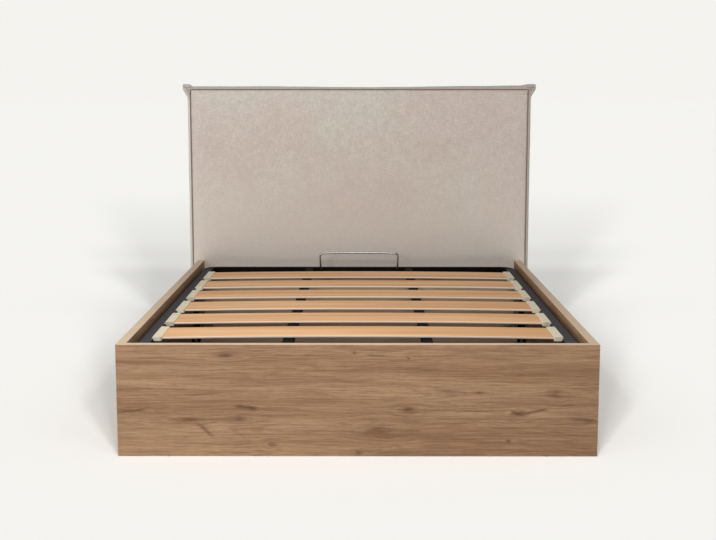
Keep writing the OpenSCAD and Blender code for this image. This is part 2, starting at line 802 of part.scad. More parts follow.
// The cams in the side panels, and the bolts that they draw
module headboard_cams() color(zinc) from_foot() for (s = [-1, 1]) on_side(s) at_cams()
  translate([inner_w / 2, cam_y, 0]) rotate([0, 90, 0]) difference() {
    cylinder(h = cam_depth, d = cam_d);
    translate([0, 0, -1]) cylinder(h = 4, d = cam_d / 3, $fn = 6);
    translate([0, -1, cam_depth / 2]) rotate([-90, 0, 0])
      cylinder(h = cam_d, d = cam_bolt_d + 2 * bolt_play);
  }
module headboard_cam_bolts() color(zinc) from_foot()
  at_bolts(cam_y) cylinder(h = board_face_y + bolt_in - cam_y, d = cam_bolt_d);

// The bent tube of the lid frame: two sides and the head end, with the holders' peg holes
module lid_rim() color(black_steel) from_foot() {
  mid_z = rail_top - tube_h / 2;
  bend_y = rim_head - bend_r;
  difference() {
    union() {
      for (s = [-1, 1]) on_side(s) {
        translate([rail_mid, 0, mid_z]) tube_along_y(tube_w, tube_h, tube_wall, rim_foot, bend_y);
        translate([rail_out - bend_r, bend_y, mid_z]) rotate_extrude(angle = 90, $fn = 96)
          translate([bend_r - tube_w / 2, 0]) tube_ring(tube_w, tube_h, tube_wall);
      }
      translate([-rail_out + bend_r, rim_head - tube_w / 2, mid_z]) rotate([90, 0, 90])
        linear_extrude(2 * (rail_out - bend_r)) tube_ring(tube_w, tube_h, tube_wall);
    }
    for (s = [-1, 1]) on_side(s) {
      at_pegs() translate([0, 0, -1]) cylinder(h = tube_wall + 2, d = peg_d + 2 * peg_play);
      at_arm_screws() translate([0, 0, -arm_t - tube_wall - 1])
        cylinder(h = tube_wall + 2, d = screw_d + 2 * screw_play);
    }
  }
}

// The straight tube welded across the foot end
module foot_rail() color(black_steel) from_foot()
  translate([-rail_in, rim_foot + tube_w / 2, rail_top - tube_h / 2]) rotate([90, 0, 90])
    linear_extrude(2 * rail_in) tube_ring(tube_w, tube_h, tube_wall);

// A lengthwise bar under the slats
module centre_bar(s) color(black_steel) from_foot() on_side(s)
  translate([bar_x, 0, rail_top - bar_h / 2])
    tube_along_y(bar_w, bar_h, tube_wall, rim_foot + tube_w, rim_head - tube_w);
module centre_bar_left() centre_bar(-1);
module centre_bar_right() centre_bar(1);

// A sprung beech slat: its section, with round long edges, swept along a shallow arch
module slat(i) color(beech) from_foot()
  translate([0, slat_y(i) + slat_w / 2, slat_arch_z]) rotate([90, 0, 0])
    rotate([0, 0, 90 - slat_arch_a])
      rotate_extrude(angle = 2 * slat_arch_a, $fn = slat_steps * 180 / slat_arch_a)
        translate([slat_arch_r - slat_t, 0]) round_rect(slat_t, slat_w, slat_edge_r);
module slat_1() slat(0);
module slat_2() slat(1);
module slat_3() slat(2);
module slat_4() slat(3);
module slat_5() slat(4);
module slat_6() slat(5);

// The sleeve of one moulded holder, with a lip on the tube
module holder_sleeve(i) intersection() {
  y0 = slat_y(i) - holder_l / 2;
  translate([rail_in, y0 + holder_l, 0]) rotate([90, 0, 0]) linear_extrude(holder_l) polygon([
    [holder_lip, rail_top], [holder_lip, holder_top - holder_slope],
    [holder_lip - holder_slope, holder_top], [-holder_reach + holder_nose, holder_top],
    [-holder_reach, holder_top - holder_nose], [-holder_reach, holder_low + holder_nose],
    [-holder_reach + holder_nose, holder_low], [0, holder_low], [0, rail_top]
  ]);
  translate([rail_in - holder_reach, y0, holder_low - 1]) linear_extrude(holder_h + 2)
    round_rect(holder_reach + holder_lip, holder_l, holder_round);
}

// The slot for a slat's end, open to the middle of the bed, where its upper side flares
module holder_slot(i) {
  slot_w = slat_w + 2 * slat_play;
  translate([rail_in - holder_reach, slat_y(i) + slot_w / 2, 0]) rotate([90, 0, 0])
    linear_extrude(slot_w) polygon([
      [-1, slot_low], [holder_reach - slat_inset + slat_play, slot_low],
      [holder_reach - slat_inset + slat_play, slot_top], [mouth_l, slot_top],
      [-1, slot_top + mouth_flare]
    ]);
}

// One peg of a holder with its boss and the webs beside it, along +z from the tube's inner face
module holder_peg() {
  rise = holder_low - peg_z;
  cylinder(h = peg_len, d = peg_d);
  translate([0, 0, -boss_reach]) cylinder(h = boss_reach, d = boss_d);
  for (dy = [-boss_d / 2, boss_d / 2 - web_t]) translate([0, dy + web_t, 0]) rotate([90, 0, 0])
    linear_extrude(web_t) polygon([
      [-rise - 1, 0], [0, 0], [0, -boss_reach], [-rise, -holder_reach + 2 * holder_nose],
      [-rise - 1, -holder_reach + 2 * holder_nose]
    ]);
}

// The six holders on one side of the frame
module slat_holders(s) color(cream) from_foot() on_side(s) difference() {
  union() {
    for (i = [0:slat_count - 1]) holder_sleeve(i);
    at_pegs() holder_peg();
  }
  for (i = [0:slat_count - 1]) holder_slot(i);
}
module slat_holders_left() slat_holders(-1);
module slat_holders_right() slat_holders(1);

// The plastic caps in the open ends of the frame's tube
module rim_end_caps() color(black_rubber) from_foot() for (s = [-1, 1]) on_side(s) {
  plug_w = tube_w - 2 * (tube_wall + cap_play);
  plug_h = tube_h - 2 * (tube_wall + cap_play);
  translate([rail_mid, rim_foot, rail_top - tube_h / 2]) rotate([90, 0, 0]) {
    linear_extrude(cap_t) translate([-tube_w / 2, -tube_h / 2]) round_rect(tube_w, tube_h, tube_corner);
    translate([-plug_w / 2, -plug_h / 2, -cap_plug]) cube([plug_w, plug_h, cap_plug]);
  }
}

// The angle under a side of the frame: it turns on the pivot stud and carries the strut's upper pin
module hinge_arm(s) color(black_steel) from_foot() on_side(s) {
  arm_y0 = strut_top_end.x - arm_over;
  arm_l = strut_radius + 2 * arm_over;
  web_low = pivot.y - web_drop;
  difference() {
    union() {
      translate([rail_in, arm_y0, rail_low - arm_t]) cube([tube_w, arm_l, arm_t]);
      translate([web_x, arm_y0, web_low + web_drop]) cube([arm_t, arm_l, rail_low - arm_t - pivot.y]);
      for (y = [strut_top_end.x, pivot.x])
        translate([web_x, y, pivot.y]) rotate([0, 90, 0]) cylinder(h = arm_t, r = web_drop);
      translate([web_x, strut_top_end.x, web_low + 4]) cube([arm_t, strut_radius, web_drop]);
    }
    translate([web_x - 1, pivot.x, pivot.y]) rotate([0, 90, 0]) cylinder(h = arm_t + 2, d = bush_d);
    at_arm_screws() translate([0, 0, -arm_t - 1]) cylinder(h = arm_t + 2, d = screw_d + 2 * screw_play);
  }
  pin_x = lane_x - eye_t / 2 - pin_past;
  shoulder_x = lane_x + eye_t / 2 + pivot_gap;
  translate([pin_x, strut_top_end.x, strut_top_end.y]) rotate([0, 90, 0])
    cylinder(h = web_x - pin_x, d = eye_pin_d);
  translate([shoulder_x, strut_top_end.x, strut_top_end.y]) rotate([0, 90, 0])
    cylinder(h = web_x - shoulder_x, d = eye_shoulder_d);
}
module hinge_arm_left() hinge_arm(-1);
module hinge_arm_right() hinge_arm(1);

// The screws that fix the arms under the frame
module arm_screws() color(zinc) from_foot()
  for (s = [-1, 1]) on_side(s) at_arm_screws() wood_screw();

// The nylon bushes pressed into the arms, which turn on the pivot studs
module pivot_bushes() color(cream) from_foot() for (s = [-1, 1]) on_side(s)
  translate([web_x, pivot.x, pivot.y]) rotate([0, 90, 0]) difference() {
    union() {
      cylinder(h = arm_t, d = bush_d);
      translate([0, 0, arm_t]) cylinder(h = bush_flange_t, d = stud_shoulder_d + 2);
    }
    translate([0, 0, -1]) cylinder(h = arm_t + bush_flange_t + 2, d = pivot_d + 2 * pivot_play);
  }

// The bent wire that keeps the mattress from sliding towards the headboard
module mattress_stop() color(chrome) from_foot() translate([0, stop_y, 0]) {
  corner_span = stop_corner_a + stop_splay;
  corner = [for (i = [0:stop_corner_steps])
    stop_station(stop_corner_c, stop_r, -stop_splay + corner_span * i / stop_corner_steps)];
  top_span = 180 - 2 * stop_corner_a;
  top = [for (i = [1:stop_top_steps - 1])
    stop_station(stop_arc_c, stop_arc_r, stop_corner_a + top_span * i / stop_top_steps)];
  right = concat([[stop_foot.x, stop_foot.y, -stop_splay]], corner);
  left = [for (i = [len(right) - 1:-1:0]) [-right[i].x, right[i].y, 180 - right[i].z]];
  route = concat(right, top, left);
  last = len(route) - 1;
  polyhedron(
    points = [for (p = route, k = [0:stop_sides - 1]) stop_ring_point(p, 360 * k / stop_sides)],
    faces = concat(
      [[for (k = [0:stop_sides - 1]) k]],
      [for (i = [0:last - 1], k = [0:stop_sides - 1])
        let (a = i * stop_sides + k, b = i * stop_sides + (k + 1) % stop_sides)
        [a, a + stop_sides, b + stop_sides, b]],
      [[for (k = [stop_sides - 1:-1:0]) last * stop_sides + k]]
    )
  );
}

// A station of the stop's wire on an arc, as [x, z, angle of its outer side]
function stop_station(centre, r, a) = [centre.x + r * cos(a), centre.y + r * sin(a), a];

// A point of the wire's round section at a station
function stop_ring_point(p, t) = [
  p.x + stop_d / 2 * cos(t) * cos(p.z), stop_d / 2 * sin(t), p.y + stop_d / 2 * cos(t) * sin(p.z)
];

// The sockets on the head end of the frame, which hold the stop's feet
module stop_sockets() color(black_steel) from_foot() for (s = [-1, 1]) on_side(s) difference() {
  translate([stop_foot_x - socket_w / 2, rim_head - tube_w - socket_t, socket_low])
    eased_board([socket_w, socket_t, socket_top - socket_low], 2);
  translate([0, stop_y, 0]) rotate([90, 0, 0]) translate(stop_foot) rotate([0, 0, -stop_splay])
    rotate([-90, 0, 0])
      cylinder(h = socket_top - stop_foot_z + stop_d, d = stop_d + 2 * socket_play);
}

// The webbing strap round the foot rail, with a loop for the hand under it
module lift_strap() color(black_webbing) from_foot()
  translate([-strap_w / 2, strap_mid_y, 0]) rotate([90, 0, 90]) linear_extrude(strap_w) {
    wrap_w = tube_w + 2 * strap_play;
    wrap_h = tube_h + 2 * strap_play;
    wrap_low = rail_low - strap_play - strap_t;
    loop_top = wrap_low - strap_ply_h;
    difference() {
      translate([-wrap_w / 2 - strap_t, wrap_low])
        round_rect(wrap_w + 2 * strap_t, wrap_h + 2 * strap_t, tube_corner + strap_t);
      translate([-wrap_w / 2, wrap_low + strap_t]) round_rect(wrap_w, wrap_h, tube_corner);
    }
    translate([-strap_t, loop_top - strap_t / 2]) square([2 * strap_t, strap_ply_h + strap_t]);
    difference() {
      translate([-strap_loop_w / 2, loop_top - strap_loop_h])
        round_rect(strap_loop_w, strap_loop_h, strap_loop_w / 2 - 1);
      translate([-strap_loop_w / 2 + strap_t, loop_top - strap_loop_h + strap_t])
        round_rect(strap_loop_w - 2 * strap_t, strap_loop_h - 2 * strap_t,
          strap_loop_w / 2 - 1 - strap_t);
    }
  }

// Places a strut's half with its eye at a point, and its length along the strut
module strut_frame(at, turn) {
  translate([lane_x, at.x, at.y]) rotate([strut_lean + turn, 0, 0]) children();
}

// An eye at the origin, with a neck along +z
module strut_eye() {
  difference() {
    union() {
      translate([-eye_t / 2, 0, 0]) rotate([0, 90, 0]) cylinder(h = eye_t, d = eye_d);
      cylinder(h = eye_neck_l, d = eye_neck_d * 0.8);
      translate([0, 0, eye_neck_l - 8]) cylinder(h = 8, d = eye_neck_d);
    }
    translate([-eye_t, 0, 0]) rotate([0, 90, 0])
      cylinder(h = 2 * eye_t, d = eye_pin_d + 2 * pivot_play);
  }
}

// A gas strut's tube, hollow for the piston, with a guide for the rod at its mouth
module strut_tube(s) color(black_steel) from_foot() on_side(s) strut_frame(strut_low_end, 0) {
  strut_eye();
  mouth = strut_tube_from + strut_tube_l;
  difference() {
    rotate_extrude() polygon([
      [0, eye_neck_l - 1], [eye_neck_d / 2, eye_neck_l - 1], [eye_neck_d / 2, strut_tube_from],
      [strut_d / 2 - 3, strut_tube_from], [strut_d / 2, strut_tube_from + 3],
      [strut_d / 2, mouth - 3], [strut_d / 2 - 2, mouth], [0, mouth]
    ]);
    translate([0, 0, strut_tube_from + tube_floor])
      cylinder(h = strut_tube_l - tube_floor - guide_t, d = strut_d - 2 * strut_wall);
    translate([0, 0, mouth - guide_t - 1])
      cylinder(h = guide_t + 2, d = rod_d + 2 * pivot_play);
  }
}
module strut_tube_left() strut_tube(-1);
module strut_tube_right() strut_tube(1);

// A gas strut's rod, from its eye on the arm down to its piston in the tube
module strut_rod(s) color(chrome) from_foot() on_side(s) strut_frame(strut_top_end, 180) {
  strut_eye();
  translate([0, 0, eye_neck_l - 1]) cylinder(h = rod_l - eye_neck_l + 1, d = rod_d);
  translate([0, 0, rod_l - piston_t])
    cylinder(h = piston_t, d = strut_d - 2 * strut_wall - 2 * piston_play);
}
module strut_rod_left() strut_rod(-1);
module strut_rod_right() strut_rod(1);

front_panel();
side_panel_left();
side_panel_right();
rear_panel();
corner_bracket_front_left();
corner_bracket_front_right();
corner_bracket_rear_left();
corner_bracket_rear_right();
corner_screws();
glides();
floor_board_foot();
floor_board_middle();
floor_board_head();
floor_ledge_left();
floor_ledge_right();
floor_screws();
floor_beam_foot();
floor_beam_head();
floor_beam_feet();
hinge_plate_left();
hinge_plate_right();
hinge_screws();
pivot_nuts();
strut_clips_lower();
lid_rest_left();
lid_rest_right();
lid_rest_buffers();
lid_rest_screws();
headboard_board();
headboard_battens();
headboard_foam();
headboard_cover();
headboard_cams();
headboard_cam_bolts();
lid_rim();
foot_rail();
centre_bar_left();
centre_bar_right();
slat_1();
slat_2();
slat_3();
slat_4();
slat_5();
slat_6();
slat_holders_left();
slat_holders_right();
rim_end_caps();
hinge_arm_left();
hinge_arm_right();
arm_screws();
pivot_bushes();
strut_clips_upper();
mattress_stop();
stop_sockets();
lift_strap();
strut_tube_left();
strut_tube_right();
strut_rod_left();
strut_rod_right();
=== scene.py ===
import math

import bpy
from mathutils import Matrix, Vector, noise


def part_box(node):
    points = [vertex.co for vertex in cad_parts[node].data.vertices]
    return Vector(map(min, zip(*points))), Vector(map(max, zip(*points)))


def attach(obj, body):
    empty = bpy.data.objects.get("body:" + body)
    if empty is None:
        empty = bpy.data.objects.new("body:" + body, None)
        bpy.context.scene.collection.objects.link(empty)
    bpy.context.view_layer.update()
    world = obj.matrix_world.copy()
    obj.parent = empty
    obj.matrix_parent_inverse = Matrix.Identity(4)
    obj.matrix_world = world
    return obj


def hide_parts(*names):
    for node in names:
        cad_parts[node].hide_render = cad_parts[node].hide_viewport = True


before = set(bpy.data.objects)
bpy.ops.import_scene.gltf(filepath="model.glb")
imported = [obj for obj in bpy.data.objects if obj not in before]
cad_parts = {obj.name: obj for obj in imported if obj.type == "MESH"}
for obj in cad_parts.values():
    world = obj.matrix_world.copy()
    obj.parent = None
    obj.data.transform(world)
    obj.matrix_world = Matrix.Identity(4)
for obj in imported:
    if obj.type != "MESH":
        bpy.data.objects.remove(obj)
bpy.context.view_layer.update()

# The camera.
# It stands in front of the foot end, a finger's breadth right of the bed's middle and turned a
# fifth of a degree to the left, at the eye height of someone sitting. It looks down eight degrees.
bpy.ops.object.select_all(action="DESELECT")
stand_right, stand_back, eye_height = 0.015, 4.785, 1.141
look_down, look_left = 0.14306, 0.00354
film_width = 36.0
focal_pixels, photo_pixels = 1225.3, 716
bpy.ops.object.camera_add(
    location=(stand_right, -stand_back, eye_height),
    rotation=(math.pi / 2 - look_down, 0, look_left),
)
camera = bpy.context.object
camera.data.sensor_width = film_width
camera.data.lens = focal_pixels / photo_pixels * film_width
bpy.context.scene.camera = camera
bpy.context.scene.view_settings.view_transform = "Standard"

# The studio.
# A seamless pale paper floor in an even pale room. An upright strip of suns on each side lights the
# paper alone and leaves soft shadows, and the bed has a top lamp, a key at the left and a weak fill.


class Value:
    """One output of a finish's node tree, so that shader maths reads as plain sums."""

    def __init__(self, finish, socket):
        self.finish, self.socket = finish, socket

    def math(self, operation, first, second):
        return self.finish.node(
            "ShaderNodeMath", {"operation": operation}, {0: first, 1: second}
        )

    def __add__(self, other):
        return self.math("ADD", self, other)

    __radd__ = __add__

    def __sub__(self, other):
        return self.math("SUBTRACT", self, other)

    def __rsub__(self, other):
        return self.math("SUBTRACT", other, self)

    def __mul__(self, other):
        return self.math("MULTIPLY", self, other)

    __rmul__ = __mul__

    def __truediv__(self, other):
        return self.math("DIVIDE", self, other)

    def __pow__(self, other):
        return self.math("POWER", self, other)

    def most(self, other):
        return self.math("MAXIMUM", self, other)

    def least(self, other):
        return self.math("MINIMUM", self, other)

    def size(self):
        return self.math("ABSOLUTE", self, 0)

    def wave(self):
        return self.math("SINE", self, 0)

    def stripes(self, pitch):
        """Waves from -1 to 1 along this value, one to each pitch in metres."""
        return (self * (2 * math.pi / pitch)).wave()

    def step(self, low, high, to_low=0.0, to_high=1.0):
        """Runs smoothly from to_low to to_high as this value goes from low to high."""
        return self.finish.node(
            "ShaderNodeMapRange",
            {"interpolation_type": "SMOOTHSTEP"},
            {"Value": self, "From Min": low, "From Max": high, "To Min": to_low, "To Max": to_high},
        )


class Finish:
    """A material whose colour, gloss and relief are made of nodes."""

    def __init__(self, name, **constants):
        self.material = bpy.data.materials.new(name)
        self.material.use_nodes = True
        self.tree = self.material.node_tree
        self.shader = self.tree.nodes["Principled BSDF"]
        for socket, value in constants.items():
            self.shader.inputs[socket.replace("_", " ")].default_value = value

    def node(self, kind, settings=None, sockets=None, out=0):
        """Adds a node: its settings first, then the values or links of its sockets."""
        made = self.tree.nodes.new(kind)
        for name, value in (settings or {}).items():
            setattr(made, name, value)
        for name, value in (sockets or {}).items():
            if isinstance(value, Value):
                self.tree.links.new(value.socket, made.inputs[name])
            elif made.inputs[name].type == "RGBA":
                made.inputs[name].default_value = (*value, 1)
            else:
                made.inputs[name].default_value = value
        return Value(self, made.outputs[out])

    def place(self, turn=(0, 0, 0), stretch=(1, 1, 1)):
        """The point on the piece, in metres, turned and stretched for a pattern."""
        where = self.node("ShaderNodeTexCoord", out="Object")
        if turn == (0, 0, 0) and stretch == (1, 1, 1):
            return where
        return self.node(
            "ShaderNodeMapping", {}, {"Vector": where, "Rotation": turn, "Scale": stretch}
        )

    def along(self, where):
        """The three coordinates of a point or a direction."""
        return [self.node("ShaderNodeSeparateXYZ", {}, {"Vector": where}, out=i) for i in range(3)]

    def facing(self):
        """The three coordinates of the direction that the surface faces."""
        return self.along(self.node("ShaderNodeTexCoord", out="Normal"))

    def point(self, x, y, z):
        return self.node("ShaderNodeCombineXYZ", {}, {"X": x, "Y": y, "Z": z})

    def noise(self, where, scale, detail=2.0, roughness=0.5):
        return self.node(
            "ShaderNodeTexNoise",
            {},
            {"Vector": where, "Scale": scale, "Detail": detail, "Roughness": roughness},
        )

    def mix(self, share, first, second):
        """Two colours mixed by share."""
        return self.node(
            "ShaderNodeMix", {"data_type": "RGBA"}, {0: share, 6: first, 7: second}, out=2
        )

    def colour(self, value):
        self.tree.links.new(value.socket, self.shader.inputs["Base Color"])

    def painted(self):
        """The colour that the finish has been given so far."""
        return Value(self, self.shader.inputs["Base Color"].links[0].from_socket)

    def roughness(self, value):
        self.tree.links.new(value.socket, self.shader.inputs["Roughness"])

    def relief(self, height, depth):
        """Bumps as high as depth, in metres, where the height's value is 1."""
        bump = self.node(
            "ShaderNodeBump", {}, {"Strength": 1.0, "Distance": depth, "Height": height}
        )
        self.tree.links.new(bump.socket, self.shader.inputs["Normal"])


def srgb(red, green, blue):
    """A colour measured on a screen, from 0 to 255, as the light it stands for."""
    return tuple(
        c / 12.92 if c <= 0.04045 else ((c + 0.055) / 1.055) ** 2.4
        for c in (red / 255, green / 255, blue / 255)
    )


paper_tone, seen_tone = (0.932, 0.928, 0.900), srgb(244, 243, 239)
air_tone, lamp_tone = (1.0, 0.995, 0.985), (1.0, 0.985, 0.96)
air_level = 0.24
room = bpy.data.worlds.new("studio_room")
bpy.context.scene.world = room
room.use_nodes = True
room_tree = room.node_tree
room_light = room_tree.nodes["Background"]
room_light.inputs["Color"].default_value = (*air_tone, 1)
room_light.inputs["Strength"].default_value = air_level
room_seen = room_tree.nodes.new("ShaderNodeBackground")
room_seen.inputs["Color"].default_value = (*seen_tone, 1)
room_rays = room_tree.nodes.new("ShaderNodeLightPath")
room_pick = room_tree.nodes.new("ShaderNodeMixShader")
room_tree.links.new(room_rays.outputs["Is Camera Ray"], room_pick.inputs["Fac"])
room_tree.links.new(room_light.outputs[0], room_pick.inputs[1])
room_tree.links.new(room_seen.outputs[0], room_pick.inputs[2])
room_tree.links.new(room_pick.outputs[0], room_tree.nodes["World Output"].inputs["Surface"])

bpy.ops.mesh.primitive_plane_add(size=300, location=(0, 0, 0))
floor = bpy.context.object
floor.name = "studio_floor"
paper = Finish("studio_paper", Roughness=1.0, Specular_IOR_Level=0.0)
paper.shader.inputs["Base Color"].default_value = (*paper_tone, 1)
floor.data.materials.append(paper.material)

on_paper = bpy.data.collections.new("lit_paper")
on_paper.objects.link(floor)
off_paper = bpy.data.collections.new("unlit_paper")
off_paper.objects.link(floor)
off_paper.collection_objects[0].light_linking.link_state = "EXCLUDE"
paper_suns = (
    (9, 15, 4, 1.37),
    (13, 16, 4, 0.68),
    (18, 20, 5, 0.84),
    (26, 22, 5, 0.84),
    (36, 50, 22, 0.12),
    (45, 38, 20, 0.12),
)
for side_name, side in (("left", -1), ("right", 1)):
    for low, aside, wide, power in paper_suns:
        bpy.ops.object.light_add(
            type="SUN", rotation=(math.radians(90 - low), 0, side * math.radians(aside))
        )
        sun = bpy.context.object
        sun.name = f"paper_sun_{side_name}_{low}"
        sun.data.energy = power
        sun.data.angle = math.radians(wide)
        sun.light_linking.receiver_collection = on_paper
for lamp_name, place, aim, size, power in (
    ("top_lamp", (-0.3, -1.5, 2.4), (-0.3, -1.2, 0), 1.6, 41),
    ("key_lamp", (-2.6, -2.8, 1.6), (-0.3, -0.6, 0.4), 1.2, 31),
    ("fill_lamp", (0.3, -4.7, 1.7), (0, 0.95, 0.8), 1.2, 8),
):
    bpy.ops.object.light_add(type="AREA", location=place)
    lamp = bpy.context.object
    lamp.name = lamp_name
    lamp.data.size = size
    lamp.data.energy = power
    lamp.data.color = lamp_tone
    lamp.rotation_mode = "QUATERNION"
    lamp.rotation_quaternion = (Vector(aim) - Vector(place)).to_track_quat("-Z", "Y")
    lamp.light_linking.receiver_collection = off_paper

# The box's panels.
# Chipboard with an oak-pattern melamine face and banded top edges: a full front panel, two side
# panels behind it and a lower rear panel between them. Upward faces carry a painted highlight, the
# sides' inner faces painted shade, and the rear panel's print is painted paler as light inside the box.


def line_on(x, z, from_x, from_z, to_x, to_z):
    """How far a point lies beside a line on a face and past its middle, and the line's length."""
    run_x, run_z = to_x - from_x, to_z - from_z
    length = math.hypot(run_x, run_z)
    past_x, past_z = x - (from_x + to_x) / 2, z - (from_z + to_z) / 2
    beside = past_x * (-run_z / length) + past_z * (run_x / length)
    beyond = past_x * (run_x / length) + past_z * (run_z / length)
    return beside, beyond, length


def oak_melamine(name, turn, knots, cracks, tone):
    """Oak print, its grain along the pattern's x, with knots and dark cracks at places in x and z.

    A knot is (x, z, half its width, half its height, how dark), a crack is (x from, z from, x to,
    z to, half its width, how dark). The tones are the print's light, middle and deep ones, the
    knots' core and a paler tone painted on upward faces as highlight and sheen from the light above.
    """
    light, middle, deep, core, painted_top_light = tone
    print_relief = 0.00012
    oak = Finish(name, Specular_IOR_Level=0.3)
    x, y, z = oak.along(oak.place(turn=turn))
    drift = oak.noise(oak.point(x * 1.4, y, z * 5.0), 1.0, 2.0) - 0.5
    shiver = oak.noise(oak.point(x * 11.0, y, z * 34.0), 1.0, 3.0, 0.6) - 0.5
    blot_x = oak.noise(oak.point(x * 16.0, y, z * 45.0), 1.0, 4.0, 0.7) - 0.5
    blot_z = oak.noise(oak.point(x * 14.0 + 7.0, y, z * 40.0), 1.0, 4.0, 0.7) - 0.5
    grain_z = z + drift * 0.020 + shiver * 0.004
    stains, halos = [], []
    for knot_x, knot_z, width, height, dark in knots:
        dx = (x - knot_x) / width + blot_x * 2.4
        dz = (z - knot_z) / height + blot_z * 2.0
        reach = (dx * dx + dz * dz) ** 0.5
        near = reach.step(0.8, 3.6, 1.0, 0.0)
        grain_z = grain_z + (z - knot_z) * near * -0.5
        stains.append(reach.step(0.1, 1.55, dark, 0.0))
        halos.append(near * (0.4 + 0.6 * (reach * 5.0 + drift * 12.0).wave()) * dark)
    for *line, width, dark in cracks:
        beside, beyond, length = line_on(x, z, *line)
        off = ((beside + shiver * 0.014 + blot_z * 0.007) / width).size()
        end = ((beyond / (length / 2)).size() + blot_x * 0.8).step(0.3, 1.1, 1.0, 0.0)
        stains.append(off.step(0.0, 1.5, dark * 1.1, 0.0) * end)
    bands = oak.noise(oak.point(x * 0.7, y, grain_z * 12.0), 1.0, 3.0, 0.6)
    broad = oak.noise(oak.point(x * 1.7, y, grain_z * 44.0), 1.0, 4.0, 0.62)
    streaks = oak.noise(oak.point(x * 5.0, y, grain_z * 190.0), 1.0, 4.0, 0.7)
    fibres = oak.noise(oak.point(x * 15.0, y, grain_z * 520.0), 1.0, 3.0, 0.7)
    pores = oak.noise(oak.point(x * 34.0, y, grain_z * 620.0), 1.0, 2.0).step(0.58, 0.70)
    heart = oak.noise(oak.point(x * 1.5, y, grain_z * 12.0), 1.0, 1.5, 0.5)
    loops = (0.5 + 0.5 * (heart * 110.0 + shiver * 6.0).wave()).step(0.45, 0.98)
    loops = loops * oak.noise(oak.point(x * 2.2, y, z * 6.0), 1.0, 1.0).step(0.44, 0.60)
    colour = oak.mix(bands.step(0.36, 0.64), light, middle)
    colour = oak.mix(broad.step(0.46, 0.70) * 0.50, colour, deep)
    colour = oak.mix((1 - broad).step(0.52, 0.74) * 0.35, colour, light)
    colour = oak.mix(streaks.step(0.45, 0.68) * 0.56, colour, deep)
    colour = oak.mix((1 - streaks).step(0.48, 0.68) * 0.42, colour, light)
    colour = oak.mix(loops * 0.26, colour, deep)
    colour = oak.mix(fibres.step(0.42, 0.68) * 0.42, colour, deep)
    colour = oak.mix(pores * 0.34, colour, core)
    for halo in halos:
        colour = oak.mix(halo * 0.38, colour, deep)
    for stain in stains:
        colour = oak.mix(stain, colour, core)
    # Painted highlight: faces that point upward are mixed toward a paler tone, as light and sheen from
    # above.
    upward = oak.facing()[2].step(0.6, 0.95)
    oak.colour(oak.mix(upward * 0.72, colour, painted_top_light))
    oak.roughness(0.54 + fibres * 0.12)
    oak.relief(streaks * 0.3 + fibres * 0.7 - pores, print_relief)
    return oak


oak_tone = (
    srgb(189, 153, 119),
    srgb(163, 126, 95),
    srgb(122, 88, 62),
    srgb(88, 55, 40),
    srgb(223, 201, 176),
)
# The rear panel's oak print in a paler copy: painted light for the light that falls into the box through
# the slats.
rear_painted_light_tone = (
    srgb(232, 205, 172),
    srgb(218, 186, 152),
    srgb(190, 155, 122),
    srgb(150, 112, 88),
    srgb(232, 208, 180),
)
front_knots = (
    (-0.414, 0.327, 0.030, 0.010, 0.62),
    (-0.545, 0.119, 0.036, 0.008, 0.60),
    (-0.330, 0.155, 0.010, 0.007, 0.45),
    (-0.371, 0.124, 0.022, 0.009, 0.45),
    (-0.268, 0.040, 0.016, 0.009, 0.50),
    (-0.010, 0.337, 0.010, 0.006, 0.55),
    (0.158, 0.319, 0.006, 0.004, 0.60),
    (0.160, 0.154, 0.022, 0.011, 0.72),
    (0.062, 0.086, 0.046, 0.020, 0.42),
    (0.005, 0.014, 0.014, 0.008, 0.55),
    (0.384, 0.208, 0.016, 0.006, 0.55),
    (0.514, 0.141, 0.022, 0.008, 0.75),
    (0.476, 0.052, 0.008, 0.005, 0.72),
    (0.622, 0.203, 0.018, 0.012, 0.30),
)
front_cracks = (
    (-0.770, 0.145, -0.660, 0.153, 0.0045, 0.60),
    (-0.515, 0.115, -0.448, 0.058, 0.0065, 0.50),
    (-0.400, 0.168, -0.310, 0.154, 0.0060, 0.66),
    (-0.740, 0.316, -0.560, 0.322, 0.0030, 0.30),
    (-0.640, 0.196, -0.420, 0.206, 0.0034, 0.30),
    (0.020, 0.328, 0.100, 0.325, 0.0035, 0.50),
    (0.230, 0.215, 0.420, 0.205, 0.0035, 0.42),
    (0.290, 0.149, 0.470, 0.150, 0.0035, 0.40),
    (0.480, 0.152, 0.515, 0.138, 0.0060, 0.60),
    (0.515, 0.138, 0.610, 0.156, 0.0055, 0.62),
    (0.660, 0.122, 0.770, 0.118, 0.0080, 0.45),
    (0.560, 0.198, 0.700, 0.197, 0.0034, 0.40),
    (0.630, 0.160, 0.690, 0.170, 0.0050, 0.32),
    (-0.530, 0.250, -0.350, 0.255, 0.0030, 0.25),
)
side_knots = (
    (0.35, 0.21, 0.03, 0.011, 0.6),
    (-0.42, 0.10, 0.03, 0.010, 0.7),
    (-0.75, 0.27, 0.02, 0.008, 0.6),
)
side_cracks = (
    (0.38, 0.212, 0.50, 0.204, 0.005, 0.5),
    (-0.70, 0.12, -0.45, 0.10, 0.005, 0.5),
)
front_oak = oak_melamine("oak_front", (0, 0, 0), front_knots, front_cracks, oak_tone)
side_oak = oak_melamine("oak_side", (0, 0, math.pi / 2), side_knots, side_cracks, oak_tone)
rear_oak = oak_melamine("oak_rear_painted_light", (0, 0, 0), (), (), rear_painted_light_tone)

